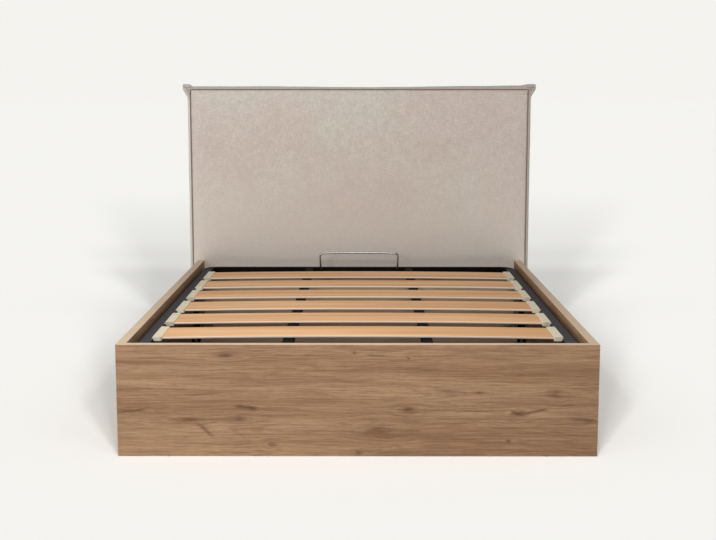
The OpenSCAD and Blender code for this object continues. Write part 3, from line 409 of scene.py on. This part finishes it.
# Painted shade: the side panels' inner faces are darkened in colour from just below their top edges
# down.
side_low, side_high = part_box("side_panel_right")
shade_deep, shade_start, shade_share = 0.045, 0.004, 0.55
shade_tone = srgb(58, 40, 27)
skin_from, skin_to = 0.0003, 0.0012
side_x, _, side_z = side_oak.along(side_oak.place())
inner_face = side_x.size().step(side_low.x + skin_from, side_low.x + skin_to, 1.0, 0.0)
shaded = side_z.step(side_high.z - shade_deep, side_high.z - shade_start, 1.0, 0.0)
side_oak.colour(side_oak.mix(inner_face * shaded * shade_share, side_oak.painted(), shade_tone))


def dress(finish, *nodes):
    """Gives CAD pieces their finish."""
    for name in nodes:
        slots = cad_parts[name].data.materials
        slots.clear()
        slots.append(finish.material)


dress(front_oak, "front_panel")
dress(side_oak, "side_panel_left", "side_panel_right")
dress(rear_oak, "rear_panel")

# The corner brackets, screws, cams, nuts and clips.
# Pressed and turned steel with a bright zinc plate, its spangle faint and its gloss uneven.
zinc = Finish("zinc_plate", Metallic=1.0)
spangle = zinc.noise(zinc.place(), 90.0, 3.0, 0.6)
zinc.colour(zinc.mix(spangle.step(0.3, 0.7), srgb(150, 152, 154), srgb(196, 197, 196)))
zinc.roughness(0.3 + spangle * 0.25)
zinc.relief(zinc.noise(zinc.place(), 900.0, 2.0), 0.00005)
dress(
    zinc, "corner_bracket_front_left", "corner_bracket_front_right", "corner_bracket_rear_left",
    "corner_bracket_rear_right", "corner_screws", "floor_screws", "hinge_screws", "pivot_nuts",
    "strut_clips_lower", "strut_clips_upper", "lid_rest_screws", "headboard_cams",
    "headboard_cam_bolts", "arm_screws",
)

# The glides, feet, buffers and caps.
# Black moulded plastic and rubber, matt, with the faint grain of the mould.
rubber = Finish("black_rubber", Specular_IOR_Level=0.4)
grit = rubber.noise(rubber.place(), 700.0, 3.0, 0.6)
rubber.colour(rubber.mix(grit.step(0.3, 0.8), srgb(28, 28, 28), srgb(52, 51, 50)))
rubber.roughness(0.62 + grit * 0.2)
rubber.relief(grit, 0.0001)
dress(rubber, "glides", "floor_beam_feet", "lid_rest_buffers", "rim_end_caps")

# The floor of the box.
# Three loose boards of smooth printed hardboard, on two ledges and two beams of planed beech.
hardboard = Finish("floor_hardboard", Specular_IOR_Level=0.3)
board_x, board_y, board_z = hardboard.along(hardboard.place())
board_grain = hardboard.noise(hardboard.point(board_x * 3.0, board_y * 60.0, board_z), 1.0, 4.0, 0.6)
board_cloud = hardboard.noise(hardboard.place(), 4.0, 3.0)
board_tone = board_grain * 0.6 + board_cloud * 0.4
hardboard.colour(hardboard.mix(board_tone.step(0.3, 0.7), srgb(150, 130, 108), srgb(176, 157, 134)))
hardboard.roughness(0.55 + board_grain * 0.15)
hardboard.relief(board_grain, 0.00008)
dress(hardboard, "floor_board_foot", "floor_board_middle", "floor_board_head")


def beech(name, turn):
    """Planed beech: fine straight grain along the pattern's x, with short dark flecks."""
    pale, warm, line, fleck = (
        srgb(238, 191, 143), srgb(217, 164, 114), srgb(192, 138, 92), srgb(160, 112, 74)
    )
    wood = Finish(name, Specular_IOR_Level=0.22)
    x, y, z = wood.along(wood.place(turn=turn))
    sway = wood.noise(wood.point(x * 1.2, y * 5.0, z * 5.0), 1.0, 2.0) - 0.5
    across = y + sway * 0.02
    broad = wood.noise(wood.point(x * 1.1, across * 16.0, z * 3.0), 1.0, 3.0, 0.5)
    lines = wood.noise(wood.point(x * 2.4, across * 130.0, z * 30.0), 1.0, 4.0, 0.65)
    flecks = wood.noise(wood.point(x * 90.0, across * 900.0, z * 200.0), 1.0, 2.0, 0.6).step(0.6, 0.72)
    colour = wood.mix(broad.step(0.32, 0.7), pale, warm)
    colour = wood.mix(lines.step(0.45, 0.75) * 0.5, colour, line)
    colour = wood.mix(flecks * 0.3, colour, fleck)
    wood.colour(colour)
    wood.roughness(0.42 + lines * 0.14)
    wood.relief(lines * 0.6 - flecks, 0.00008)
    return wood


dress(beech("beech_long", (0, 0, math.pi / 2)), "floor_ledge_left", "floor_ledge_right")
dress(beech("beech_cross", (0, 0, 0)), "floor_beam_foot", "floor_beam_head")

# The black steel: lid frame, hinge plates and arms, lid rests, stop sockets and strut tubes.
# Cut and welded steel under a black powder coat with a fine orange peel. Its upward faces are painted
# grey towards the bed's sides, part dust and part painted sheen, and left black in the middle and at
# the head end, as painted shade under the slats and the headboard.
shaded_half, shaded_head = 0.45, 0.80
powder = Finish("black_powder_coat", Specular_IOR_Level=0.04)
peel = powder.noise(powder.place(), 1100.0, 2.0, 0.5)
dust = powder.noise(powder.place(), 14.0, 4.0, 0.65)
speck = powder.noise(powder.place(), 420.0, 2.0, 0.7)
tops = powder.facing()[2].step(0.5, 0.95)
powder_x, powder_y, _ = powder.along(powder.place())
# Part dust, part painted sheen on upward faces, kept off the middle and the head end as painted shade.
dust_and_top_sheen = tops * speck.step(0.35, 0.65, 0.35, 1.0)
dust_and_top_sheen = dust_and_top_sheen * powder_y.step(shaded_head, shaded_head + 0.08, 1.0, 0.0)
dust_and_top_sheen = dust_and_top_sheen * (powder_x.size() - shaded_half).step(0.0, 0.1)
powder_colour = powder.mix(dust.step(0.3, 0.75), srgb(12, 12, 12), srgb(20, 19, 19))
powder.colour(powder.mix(dust_and_top_sheen, powder_colour, srgb(86, 85, 90)))
powder.roughness(0.58 + dust * 0.16)
powder.relief(peel, 0.00009)
dress(
    powder, "hinge_plate_left", "hinge_plate_right", "lid_rest_left", "lid_rest_right", "lid_rim",
    "foot_rail", "centre_bar_left", "centre_bar_right", "hinge_arm_left", "hinge_arm_right",
    "stop_sockets", "strut_tube_left", "strut_tube_right",
)

# The gas struts' rods and the bent wire stop.
# Ground steel rods and bent steel wire under a smooth chrome plate, with faint clouds in its gloss.
chrome = Finish("bright_chrome", Metallic=1.0)
marks = chrome.noise(chrome.place(), 260.0, 2.0, 0.5)
chrome.colour(chrome.mix(marks.step(0.3, 0.7), srgb(158, 158, 159), srgb(180, 180, 180)))
chrome.roughness(0.16 + marks * 0.1)
dress(chrome, "strut_rod_left", "strut_rod_right", "mattress_stop")

# The holders and the hinge bushes.
# Moulded cream nylon, satin, finely pimpled by its mould and a little uneven in colour.
pimple_across, pimple_along = 0.0045, 0.0070
nylon = Finish("cream_nylon", Specular_IOR_Level=0.6)
melt = nylon.noise(nylon.place(), 45.0, 3.0, 0.5)
mould = nylon.noise(nylon.place(), 1300.0, 2.0, 0.5)
nylon.colour(nylon.mix(melt.step(0.3, 0.7), srgb(255, 240, 208), srgb(255, 248, 225)))
nylon.roughness(0.4 + melt * 0.12)
nylon_x, nylon_y, _ = nylon.along(nylon.place())
pimples = nylon_x.stripes(pimple_across) * nylon_y.stripes(pimple_along).size()
nylon.relief(pimples + mould * 0.1, 0.0012)
dress(nylon, "slat_holders_left", "slat_holders_right", "pivot_bushes")

# The slats.
# Beech veneers pressed into a shallow arch and planed, so a slat's long edges show the ends of its
# plies: paler than its face, with fine dark glue lines.
slat_wood = beech("beech_slat", (0, 0, 0))
slat_low, slat_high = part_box("slat_1")
arch_rise = 0.006
arch_radius = (slat_high.x - slat_low.x) ** 2 / (8 * arch_rise)
ply = 0.0018
slat_x, _, slat_z = slat_wood.along(slat_wood.place())
long_edge = slat_wood.facing()[1].size().step(0.45, 0.9)
depth = slat_high.z - (slat_z + slat_x * slat_x / (2 * arch_radius))
glue = depth.stripes(ply).step(0.55, 1.0)
ply_colour = slat_wood.mix(glue * 0.5, srgb(248, 234, 218), srgb(196, 158, 126))
slat_wood.colour(slat_wood.mix(long_edge, slat_wood.painted(), ply_colour))
dress(slat_wood, *(f"slat_{i}" for i in range(1, 7)))

# The headboard's core.
# Raw chipboard glued to a frame of battens, with a slab of cream foam on its front.
chipboard = Finish("raw_chipboard", Specular_IOR_Level=0.2)
chip_place = chipboard.place(stretch=(1, 1, 2.5))
chips = chipboard.node(
    "ShaderNodeTexVoronoi", {}, {"Vector": chip_place, "Scale": 220.0}, out="Color"
)
chip_tone = chipboard.node("ShaderNodeSeparateXYZ", {}, {"Vector": chips})
chipboard.colour(chipboard.mix(chip_tone, srgb(172, 140, 98), srgb(214, 188, 146)))
chipboard.roughness(0.8 + chip_tone * 0.1)
chipboard.relief(chip_tone, 0.0002)
dress(chipboard, "headboard_board")
dress(beech("beech_batten", (0, math.pi / 2, 0)), "headboard_battens")
foam = Finish("seat_foam", Specular_IOR_Level=0.1)
cells = foam.noise(foam.place(), 900.0, 3.0, 0.7)
foam.colour(foam.mix(cells.step(0.3, 0.7), srgb(226, 214, 170), srgb(244, 236, 204)))
foam.roughness(0.9 + cells * 0.05)
foam.relief(cells, 0.0006)
dress(foam, "headboard_foam")

# The headboard's loose cover.
# A bag of washed linen over the foam. Its front panel and its side strip meet in a seam behind a
# flat flange, so the panel swells softly inside the seam's valley, along which a shadow line is painted.
cover_low, cover_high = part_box("headboard_cover")
cover_front, cover_back, cover_hem = cover_low.y, cover_high.y, cover_low.z
board_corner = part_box("headboard_board")[1]
slack = 0.0023
cover_half, cover_top = board_corner.x + slack, board_corner.z + slack
box_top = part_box("front_panel")[1].z
thread_pitch = 0.0019
linen_white, linen_rose = srgb(215, 211, 203), srgb(214, 200, 194)
linen_mottled, linen_speckled = srgb(193, 183, 175), srgb(187, 176, 168)
linen_slub, linen_gap = srgb(236, 228, 218), srgb(168, 155, 144)
linen_painted_light_low, linen_flange_painted_shade, linen_lip_highlight = srgb(236, 226, 217), srgb(156, 153, 147), srgb(234, 231, 224)
seam_shadow_tone, crease_shade_tone = srgb(118, 104, 92), srgb(118, 106, 96)
linen = Finish("washed_linen", Specular_IOR_Level=0.1, Sheen_Weight=0.2, Sheen_Roughness=0.5)
cloth_x, cloth_y, cloth_z = linen.along(linen.place())
cloud = linen.noise(linen.place(), 2.6, 2.0, 0.5)
mottle = linen.noise(linen.place(), 26.0, 3.0, 0.6)
speckle = linen.noise(linen.place(), 95.0, 3.0, 0.65)
slub_across = linen.noise(linen.point(cloth_x * 30.0, cloth_y * 30.0, cloth_z * 260.0), 1.0, 2.0, 0.6)
slub_up = linen.noise(linen.point(cloth_x * 260.0, cloth_y * 260.0, cloth_z * 30.0), 1.0, 2.0, 0.6)
slubs = slub_across.most(slub_up)
threads = (
    cloth_x.stripes(thread_pitch).size()
    + cloth_z.stripes(thread_pitch).size()
    + cloth_y.stripes(thread_pitch).size()
) / 3.0
inside_seam = (cover_half - cloth_x.size()).least(cover_top - cloth_z)
on_face = cloth_y.step(cover_front + 0.010, cover_front + 0.016, 1.0, 0.0)
seam_shadow = inside_seam.size().step(0.0014, 0.0040, 1.0, 0.0) * on_face
linen_colour = linen.mix(cloud.step(0.36, 0.64), linen_white, linen_rose)
linen_colour = linen.mix(mottle.step(0.36, 0.66) * 0.30, linen_colour, linen_mottled)
linen_colour = linen.mix(speckle.step(0.42, 0.64) * 0.36, linen_colour, linen_speckled)
linen_colour = linen.mix(slubs.step(0.52, 0.70) * 0.50, linen_colour, linen_slub)
linen_colour = linen.mix((1 - threads).step(0.4, 0.9) * 0.2, linen_colour, linen_gap)
# Painted light: the linen is made paler towards the bottom of the cover.
linen_colour = linen.mix(cloth_z.step(box_top, 1.0, 0.62, 0.0), linen_colour, linen_painted_light_low)
# Painted shade: outside the seam, on the flange, the linen is darkened toward grey.
linen_colour = linen.mix(inside_seam.step(-0.003, 0.0, 0.50, 0.0), linen_colour, linen_flange_painted_shade)
# Painted shadow: a dark line along the seam on the front face.
linen_colour = linen.mix(seam_shadow * 0.9, linen_colour, seam_shadow_tone)
# Painted highlight: a paler strip along the outer part of the left flange, fading down the side.
left_lip_highlight = cloth_x.step(-cover_half - 0.0045, -cover_half - 0.0025, 0.62, 0.0)
left_lip_highlight = left_lip_highlight * cloth_z.step(cover_top - 0.055, cover_top - 0.035, 1.0, 0.35)
linen_colour = linen.mix(left_lip_highlight, linen_colour, linen_lip_highlight)
ear_creases = (
    (0.8035, 1.1690, 0.782, 1.129),
    (0.7940, 1.1670, 0.781, 1.142),
    (0.8120, 1.1700, 0.776, 1.1690),
)
# Painted shade: dark lines along the pinched folds of each ear.
for ear_crease in ear_creases:
    beside, beyond, length = line_on(cloth_x.size(), cloth_z, *ear_crease)
    crease_shade = beside.size().step(0.0006, 0.0026, 1.0, 0.0)
    crease_shade = crease_shade * beyond.size().step(length * 0.4, length * 0.6, 1.0, 0.0)
    linen_colour = linen.mix(crease_shade * 0.6, linen_colour, crease_shade_tone)
linen.colour(linen_colour)
linen.roughness(0.86 + slubs * 0.1)
linen.relief(threads * 0.4 + slubs * 0.5 + mottle * 0.8 + speckle * 0.6, 0.0007)

bpy.ops.object.select_all(action="DESELECT")
bpy.ops.mesh.primitive_cube_add(
    size=1,
    location=(0, (cover_front + cover_back) / 2, (cover_hem + cover_top) / 2),
    scale=(2 * cover_half, cover_back - cover_front, cover_top - cover_hem),
)
cover = bpy.context.object
cover.name = "headboard_linen_cover"
bpy.ops.object.transform_apply(location=True, rotation=True, scale=True)
cover.data.remesh_voxel_size = 0.015
bpy.ops.object.voxel_remesh()

held_rim, held_below, held_fade, held_most = 0.008, box_top + 0.02, 0.06, 0.9
swell_frames, most_swell = 20, 0.006
cloth = cover.modifiers.new("cloth", "CLOTH")
held = cover.vertex_groups.new(name="held")
for vertex in cover.data.vertices:
    at_seam = cover_half - abs(vertex.co.x) < held_rim or cover_top - vertex.co.z < held_rim
    low_down = max(0.0, min(held_most, (held_below - vertex.co.z) / held_fade))
    held.add([vertex.index], 1.0 if at_seam else low_down, "REPLACE")
cloth.settings.vertex_group_mass = "held"
cloth.settings.use_pressure = True
cloth.settings.uniform_pressure_force = 4.0
cloth.settings.effector_weights.gravity = 0
cloth.settings.tension_stiffness = 25
cloth.settings.bending_stiffness = 1.5
cloth.settings.quality = 5
start = [vertex.co.copy() for vertex in cover.data.vertices]
for step in range(1, swell_frames + 1):
    bpy.context.scene.frame_set(step)
swollen = cover.evaluated_get(bpy.context.evaluated_depsgraph_get()).data
for vertex, rest, moved in zip(cover.data.vertices, start, swollen.vertices):
    push = moved.co - rest
    if push.length > most_swell:
        push *= most_swell / push.length
    vertex.co = rest + push
cover.modifiers.remove(cloth)
bpy.context.scene.frame_set(1)

front_deep, above_fade = 0.02, 0.05
tuck_deep, tuck_wide = 0.0050, 0.016
pucker_deep, pucker_wide, crease_deep = 0.0018, 0.060, 0.0012
for vertex in cover.data.vertices:
    place = vertex.co
    seam_gap = min(cover_half - abs(place.x), cover_top - place.z)
    above_box = max(0.0, min(1.0, (place.z - box_top) / above_fade))
    if place.y < cover_front + front_deep:
        edge_run = place.x if cover_top - place.z < cover_half - abs(place.x) else place.z
        pucker = noise.noise(Vector((edge_run * 34, seam_gap * 8, 2.0)))
        tuck = math.exp(-max(0.0, seam_gap) / tuck_wide)
        ease_in = math.exp(-max(0.0, seam_gap) / pucker_wide)
        crease = noise.noise(Vector((place.x * 2.2, 5.0, place.z * 2.6)))
        sunk = tuck_deep * tuck + pucker_deep * pucker * ease_in + crease_deep * crease
        place.y += above_box * sunk

cover_smooth = cover.modifiers.new("smooth", "SUBSURF")
cover_smooth.levels = cover_smooth.render_levels = 1
bpy.ops.object.select_all(action="DESELECT")
cover.select_set(True)
bpy.context.view_layer.objects.active = cover
bpy.ops.object.modifier_apply(modifier="smooth")
bpy.ops.object.shade_smooth()
cover.data.materials.append(linen.material)
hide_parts("headboard_cover", "headboard_foam")

# The cover's flange.
# Two plies of the linen turned outwards along the seam and pressed flat, up the left side, across
# the top and down the right. At each top corner they sweep out into an ear with pinched folds.
flange_reach, flange_ply, flange_behind = 0.013, 0.0017, 0.0045
corner_turn = 0.012
top_wider, top_slant = 0.0035, 0.0025
dip_deep, dip_at, dip_wide = 0.0055, 0.08, 0.35
flange_half, flange_top = cover_half + flange_reach, cover_top + flange_reach
side_run = cover_top - cover_hem - corner_turn
arc_run = math.pi / 2 * corner_turn
flange_run = 2 * (side_run + arc_run + cover_half - corner_turn)
ear_down, ear_out, ear_up, ear_round = 0.055, 0.022, 0.012, 0.007
ear_side_top = 0.005
ear_tops = {"left": (0.022, 0.020, 0.0016), "right": (0.022, 0.050, 0.0054)}
ear_from = flange_top - ear_down - cover_hem


def ear_edge(level, fall, lift):
    """An ear's edge as [x, z]: up from the side, over its level top and down to lift above the seam."""
    tip_x, tip_z = flange_half + ear_out - ear_round, flange_top + ear_up - ear_round
    sweep = [
        (
            flange_half + ear_out * (0.5 - 0.5 * math.cos(math.pi * k / 10)),
            flange_top - ear_down + (ear_down - ear_side_top) * k / 10,
        )
        for k in range(11)
    ]
    turn = [
        (tip_x + ear_round * math.cos(math.radians(a)), tip_z + ear_round * math.sin(math.radians(a)))
        for a in range(0, 91, 15)
    ]
    top_fall = [
        (
            tip_x - level - fall * k / 10,
            flange_top + lift + (ear_up - lift) * (0.5 + 0.5 * math.cos(math.pi * k / 10)),
        )
        for k in range(11)
    ]
    return sweep + turn + top_fall


ears = {}
for ear_side, shape in ear_tops.items():
    edge = ear_edge(*shape)
    lengths = [0.0]
    for first, second in zip(edge, edge[1:]):
        lengths.append(lengths[-1] + math.dist(first, second))
    ears[ear_side] = (edge, lengths, side_run + arc_run + cover_half - corner_turn - edge[-1][0])


def flange_line(run, ear_side="left"):
    """A point of the seam and the point of the flange's edge beside it, run metres from the left hem."""
    if run > flange_run / 2:
        root, edge = flange_line(flange_run - run, "right")
        return Vector((-root.x, 0, root.z)), Vector((-edge.x, 0, edge.z))
    turn = max(0.0, min(math.pi / 2, (run - side_run) / corner_turn))
    out = Vector((-math.cos(turn), 0, math.sin(turn)))
    root = Vector((-cover_half + corner_turn, 0, cover_top - corner_turn)) + out * corner_turn
    root.x += max(0.0, run - side_run - arc_run)
    root.z += min(0.0, run - side_run)
    edge, lengths, ear_to = ears[ear_side]
    if not ear_from < run < ear_to:
        toward_right = -root.x if ear_side == "right" else root.x
        dip = dip_deep * math.exp(-(((toward_right - dip_at) / dip_wide) ** 2))
        widened = top_wider + top_slant * toward_right - dip
        return root, root + out * (flange_reach + widened * out.z)
    along = (run - ear_from) / (ear_to - ear_from) * lengths[-1]
    piece = max(k for k in range(len(edge) - 1) if lengths[k] <= along)
    share = (along - lengths[piece]) / (lengths[piece + 1] - lengths[piece])
    (x0, z0), (x1, z1) = edge[piece], edge[piece + 1]
    return root, Vector((-(x0 + (x1 - x0) * share), 0, z0 + (z1 - z0) * share))


flange_runs = [0.0]
for stretch_to, steps in (
    (ear_from, 130), (ears["left"][2], 80), (flange_run - ears["right"][2], 190),
    (flange_run - ear_from, 80), (flange_run, 130),
):
    stretch_from = flange_runs[-1]
    flange_runs += [stretch_from + (stretch_to - stretch_from) * k / steps for k in range(1, steps + 1)]
bpy.ops.object.select_all(action="DESELECT")
bpy.ops.mesh.primitive_grid_add(x_subdivisions=len(flange_runs) - 1, y_subdivisions=16, size=1)
flange = bpy.context.object
flange.name = "headboard_flange"
fold_pitch, hem_taper, seam_tuck = 0.017, 0.003, 0.003
stitch_at, stitch_wide = 0.24, 0.10
ripple_out, ruffle_out = 0.08, 0.05
ripple_side, ruffle_side, fold_side = 0.0020, 0.0011, 0.0034
for vertex in flange.data.vertices:
    run = flange_runs[round((vertex.co.x + 0.5) * (len(flange_runs) - 1))]
    turn = (vertex.co.y + 0.5) * 2 * math.pi
    root, edge = flange_line(run)
    left_run = min(run, flange_run - run)
    ear_middle = side_run + arc_run / 2
    from_tip = abs(left_run - ear_middle) / (ear_middle - ear_from)
    ear = max(0.0, 1 - from_tip) ** 0.7
    ripple = noise.noise(Vector((run * 7.0, 3.0, 1.0)))
    ruffle = noise.noise(Vector((run * 26.0, 8.0, 1.0)))
    fold = ear * math.sin(left_run * 2 * math.pi / fold_pitch)
    across = 0.5 - 0.5 * math.cos(turn)
    stitched = math.exp(-(((across - stitch_at) / stitch_wide) ** 2))
    thick = flange_ply * min(1.0, left_run / hem_taper) * (1.2 - 0.5 * stitched)
    out = (edge - root) * (1 + (1 - ear) * (ripple_out * ripple + ruffle_out * ruffle))
    sway = ripple_side * ripple + ruffle_side * ruffle + fold_side * fold
    place = root + out * across - out.normalized() * seam_tuck * (1 - across)
    place.y = cover_front + flange_behind + across * sway
    place.y += math.sin(turn) * thick
    vertex.co = place
bpy.ops.object.mode_set(mode="EDIT")
bpy.ops.mesh.select_all(action="SELECT")
bpy.ops.mesh.remove_doubles(threshold=0.00005)
bpy.ops.mesh.select_all(action="SELECT")
bpy.ops.mesh.normals_make_consistent(inside=False)
bpy.ops.object.mode_set(mode="OBJECT")
bpy.ops.object.shade_smooth()
flange.data.materials.append(linen.material)
for piece in (cover, flange):
    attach(piece, "box")

# The lift strap.
# One length of black polyester webbing round the foot rail, its two plies sewn together under the
# rail, and the rest left open as a loop for the hand.
strap_low, strap_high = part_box("lift_strap")
rail_box_low, rail_box_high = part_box("foot_rail")
web_half, web_ply = (strap_high.x - strap_low.x) / 2, 0.0016
web_gap = strap_high.z - rail_box_high.z - web_ply / 2
wrap_top, wrap_low = rail_box_high.z + web_gap, rail_box_low.z - web_gap
wrap_half = (rail_box_high.y - rail_box_low.y) / 2 + web_gap
mid_y = (rail_box_low.y + rail_box_high.y) / 2
loop_high, loop_half = 0.095, 0.0142
neck_low, loop_low = strap_low.z + loop_high, strap_low.z + web_ply / 2
bends = (
    (wrap_half, wrap_top, 0.004),
    (wrap_half, wrap_low, 0.004),
    (web_ply * 0.6, wrap_low, 0.003),
    (web_ply * 0.6, neck_low, 0.004),
    (loop_half, neck_low - 0.012, 0.009),
    (loop_half, loop_low, 0.013),
)


def web_route():
    """The strap's middle line as [y, z], half of it worked out from its bends and then mirrored."""
    corners = [Vector((0, wrap_top))] + [Vector((y, z)) for y, z, _ in bends] + [Vector((0, loop_low))]
    half_route = [corners[0]]
    for before, at, after, (_, _, radius) in zip(corners, corners[1:], corners[2:], bends):
        come, leave = (before - at).normalized(), (after - at).normalized()
        cut_back = min(radius, (before - at).length * 0.48, (after - at).length * 0.48)
        for k in range(7):
            t = k / 6
            half_route.append(
                at + come * cut_back * (1 - t) ** 2 + leave * cut_back * t**2
            )
    half_route.append(corners[-1])
    return half_route + [Vector((-spot.x, spot.y)) for spot in reversed(half_route[1:-1])]


webbing = Finish("black_webbing", Specular_IOR_Level=0.25, Sheen_Weight=0.1)
rib_pitch, pick_pitch, sewn_in = 0.0026, 0.0018, 0.004
web_x, _, web_z = webbing.along(webbing.place())
ribs = web_x.stripes(rib_pitch) * 0.5 + 0.5
picks = web_z.stripes(pick_pitch) * 0.25 + 0.75
sewn_line = (web_x.size() - (web_half - sewn_in)).size().step(0.0004, 0.0009, 1.0, 0.0)
sewn_above = web_z.step(neck_low, neck_low + 0.002)
sewn_below = web_z.step(wrap_low - 0.004, wrap_low - 0.002, 1.0, 0.0)
sewn = sewn_line * sewn_above * sewn_below
web_colour = webbing.mix(ribs * picks, srgb(22, 22, 24), srgb(48, 48, 51))
webbing.colour(webbing.mix(sewn * 0.6, web_colour, srgb(84, 84, 86)))
webbing.roughness(0.7 + ribs * 0.15)
webbing.relief(ribs * picks + sewn, 0.0004)

route = web_route()
bpy.ops.object.select_all(action="DESELECT")
band_face = ((-1, 0), (-0.96, 0.9), (-0.5, 1), (0.5, 1), (0.96, 0.9))
painted_top_light = [(web_half * x * s, web_ply / 2 * t * s) for s in (1, -1) for x, t in band_face]
bpy.ops.mesh.primitive_grid_add(x_subdivisions=len(route), y_subdivisions=len(painted_top_light), size=1)
strap = bpy.context.object
strap.name = "lift_strap_webbing"
for vertex in strap.data.vertices:
    k = round((vertex.co.x + 0.5) * len(route)) % len(route)
    ahead, behind = route[(k + 1) % len(route)], route[k - 1]
    aside = Vector((ahead.y - behind.y, behind.x - ahead.x)).normalized()
    x, off = painted_top_light[round((vertex.co.y + 0.5) * len(painted_top_light)) % len(painted_top_light)]
    spot = route[k] + aside * off
    vertex.co = (x, mid_y + spot.x, spot.y)
bpy.ops.object.mode_set(mode="EDIT")
bpy.ops.mesh.select_all(action="SELECT")
bpy.ops.mesh.remove_doubles(threshold=0.00002)
bpy.ops.mesh.select_all(action="SELECT")
bpy.ops.mesh.normals_make_consistent(inside=False)
bpy.ops.object.mode_set(mode="OBJECT")
bpy.ops.object.shade_smooth()
strap.data.materials.append(webbing.material)
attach(strap, "lid")
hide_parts("lift_strap")
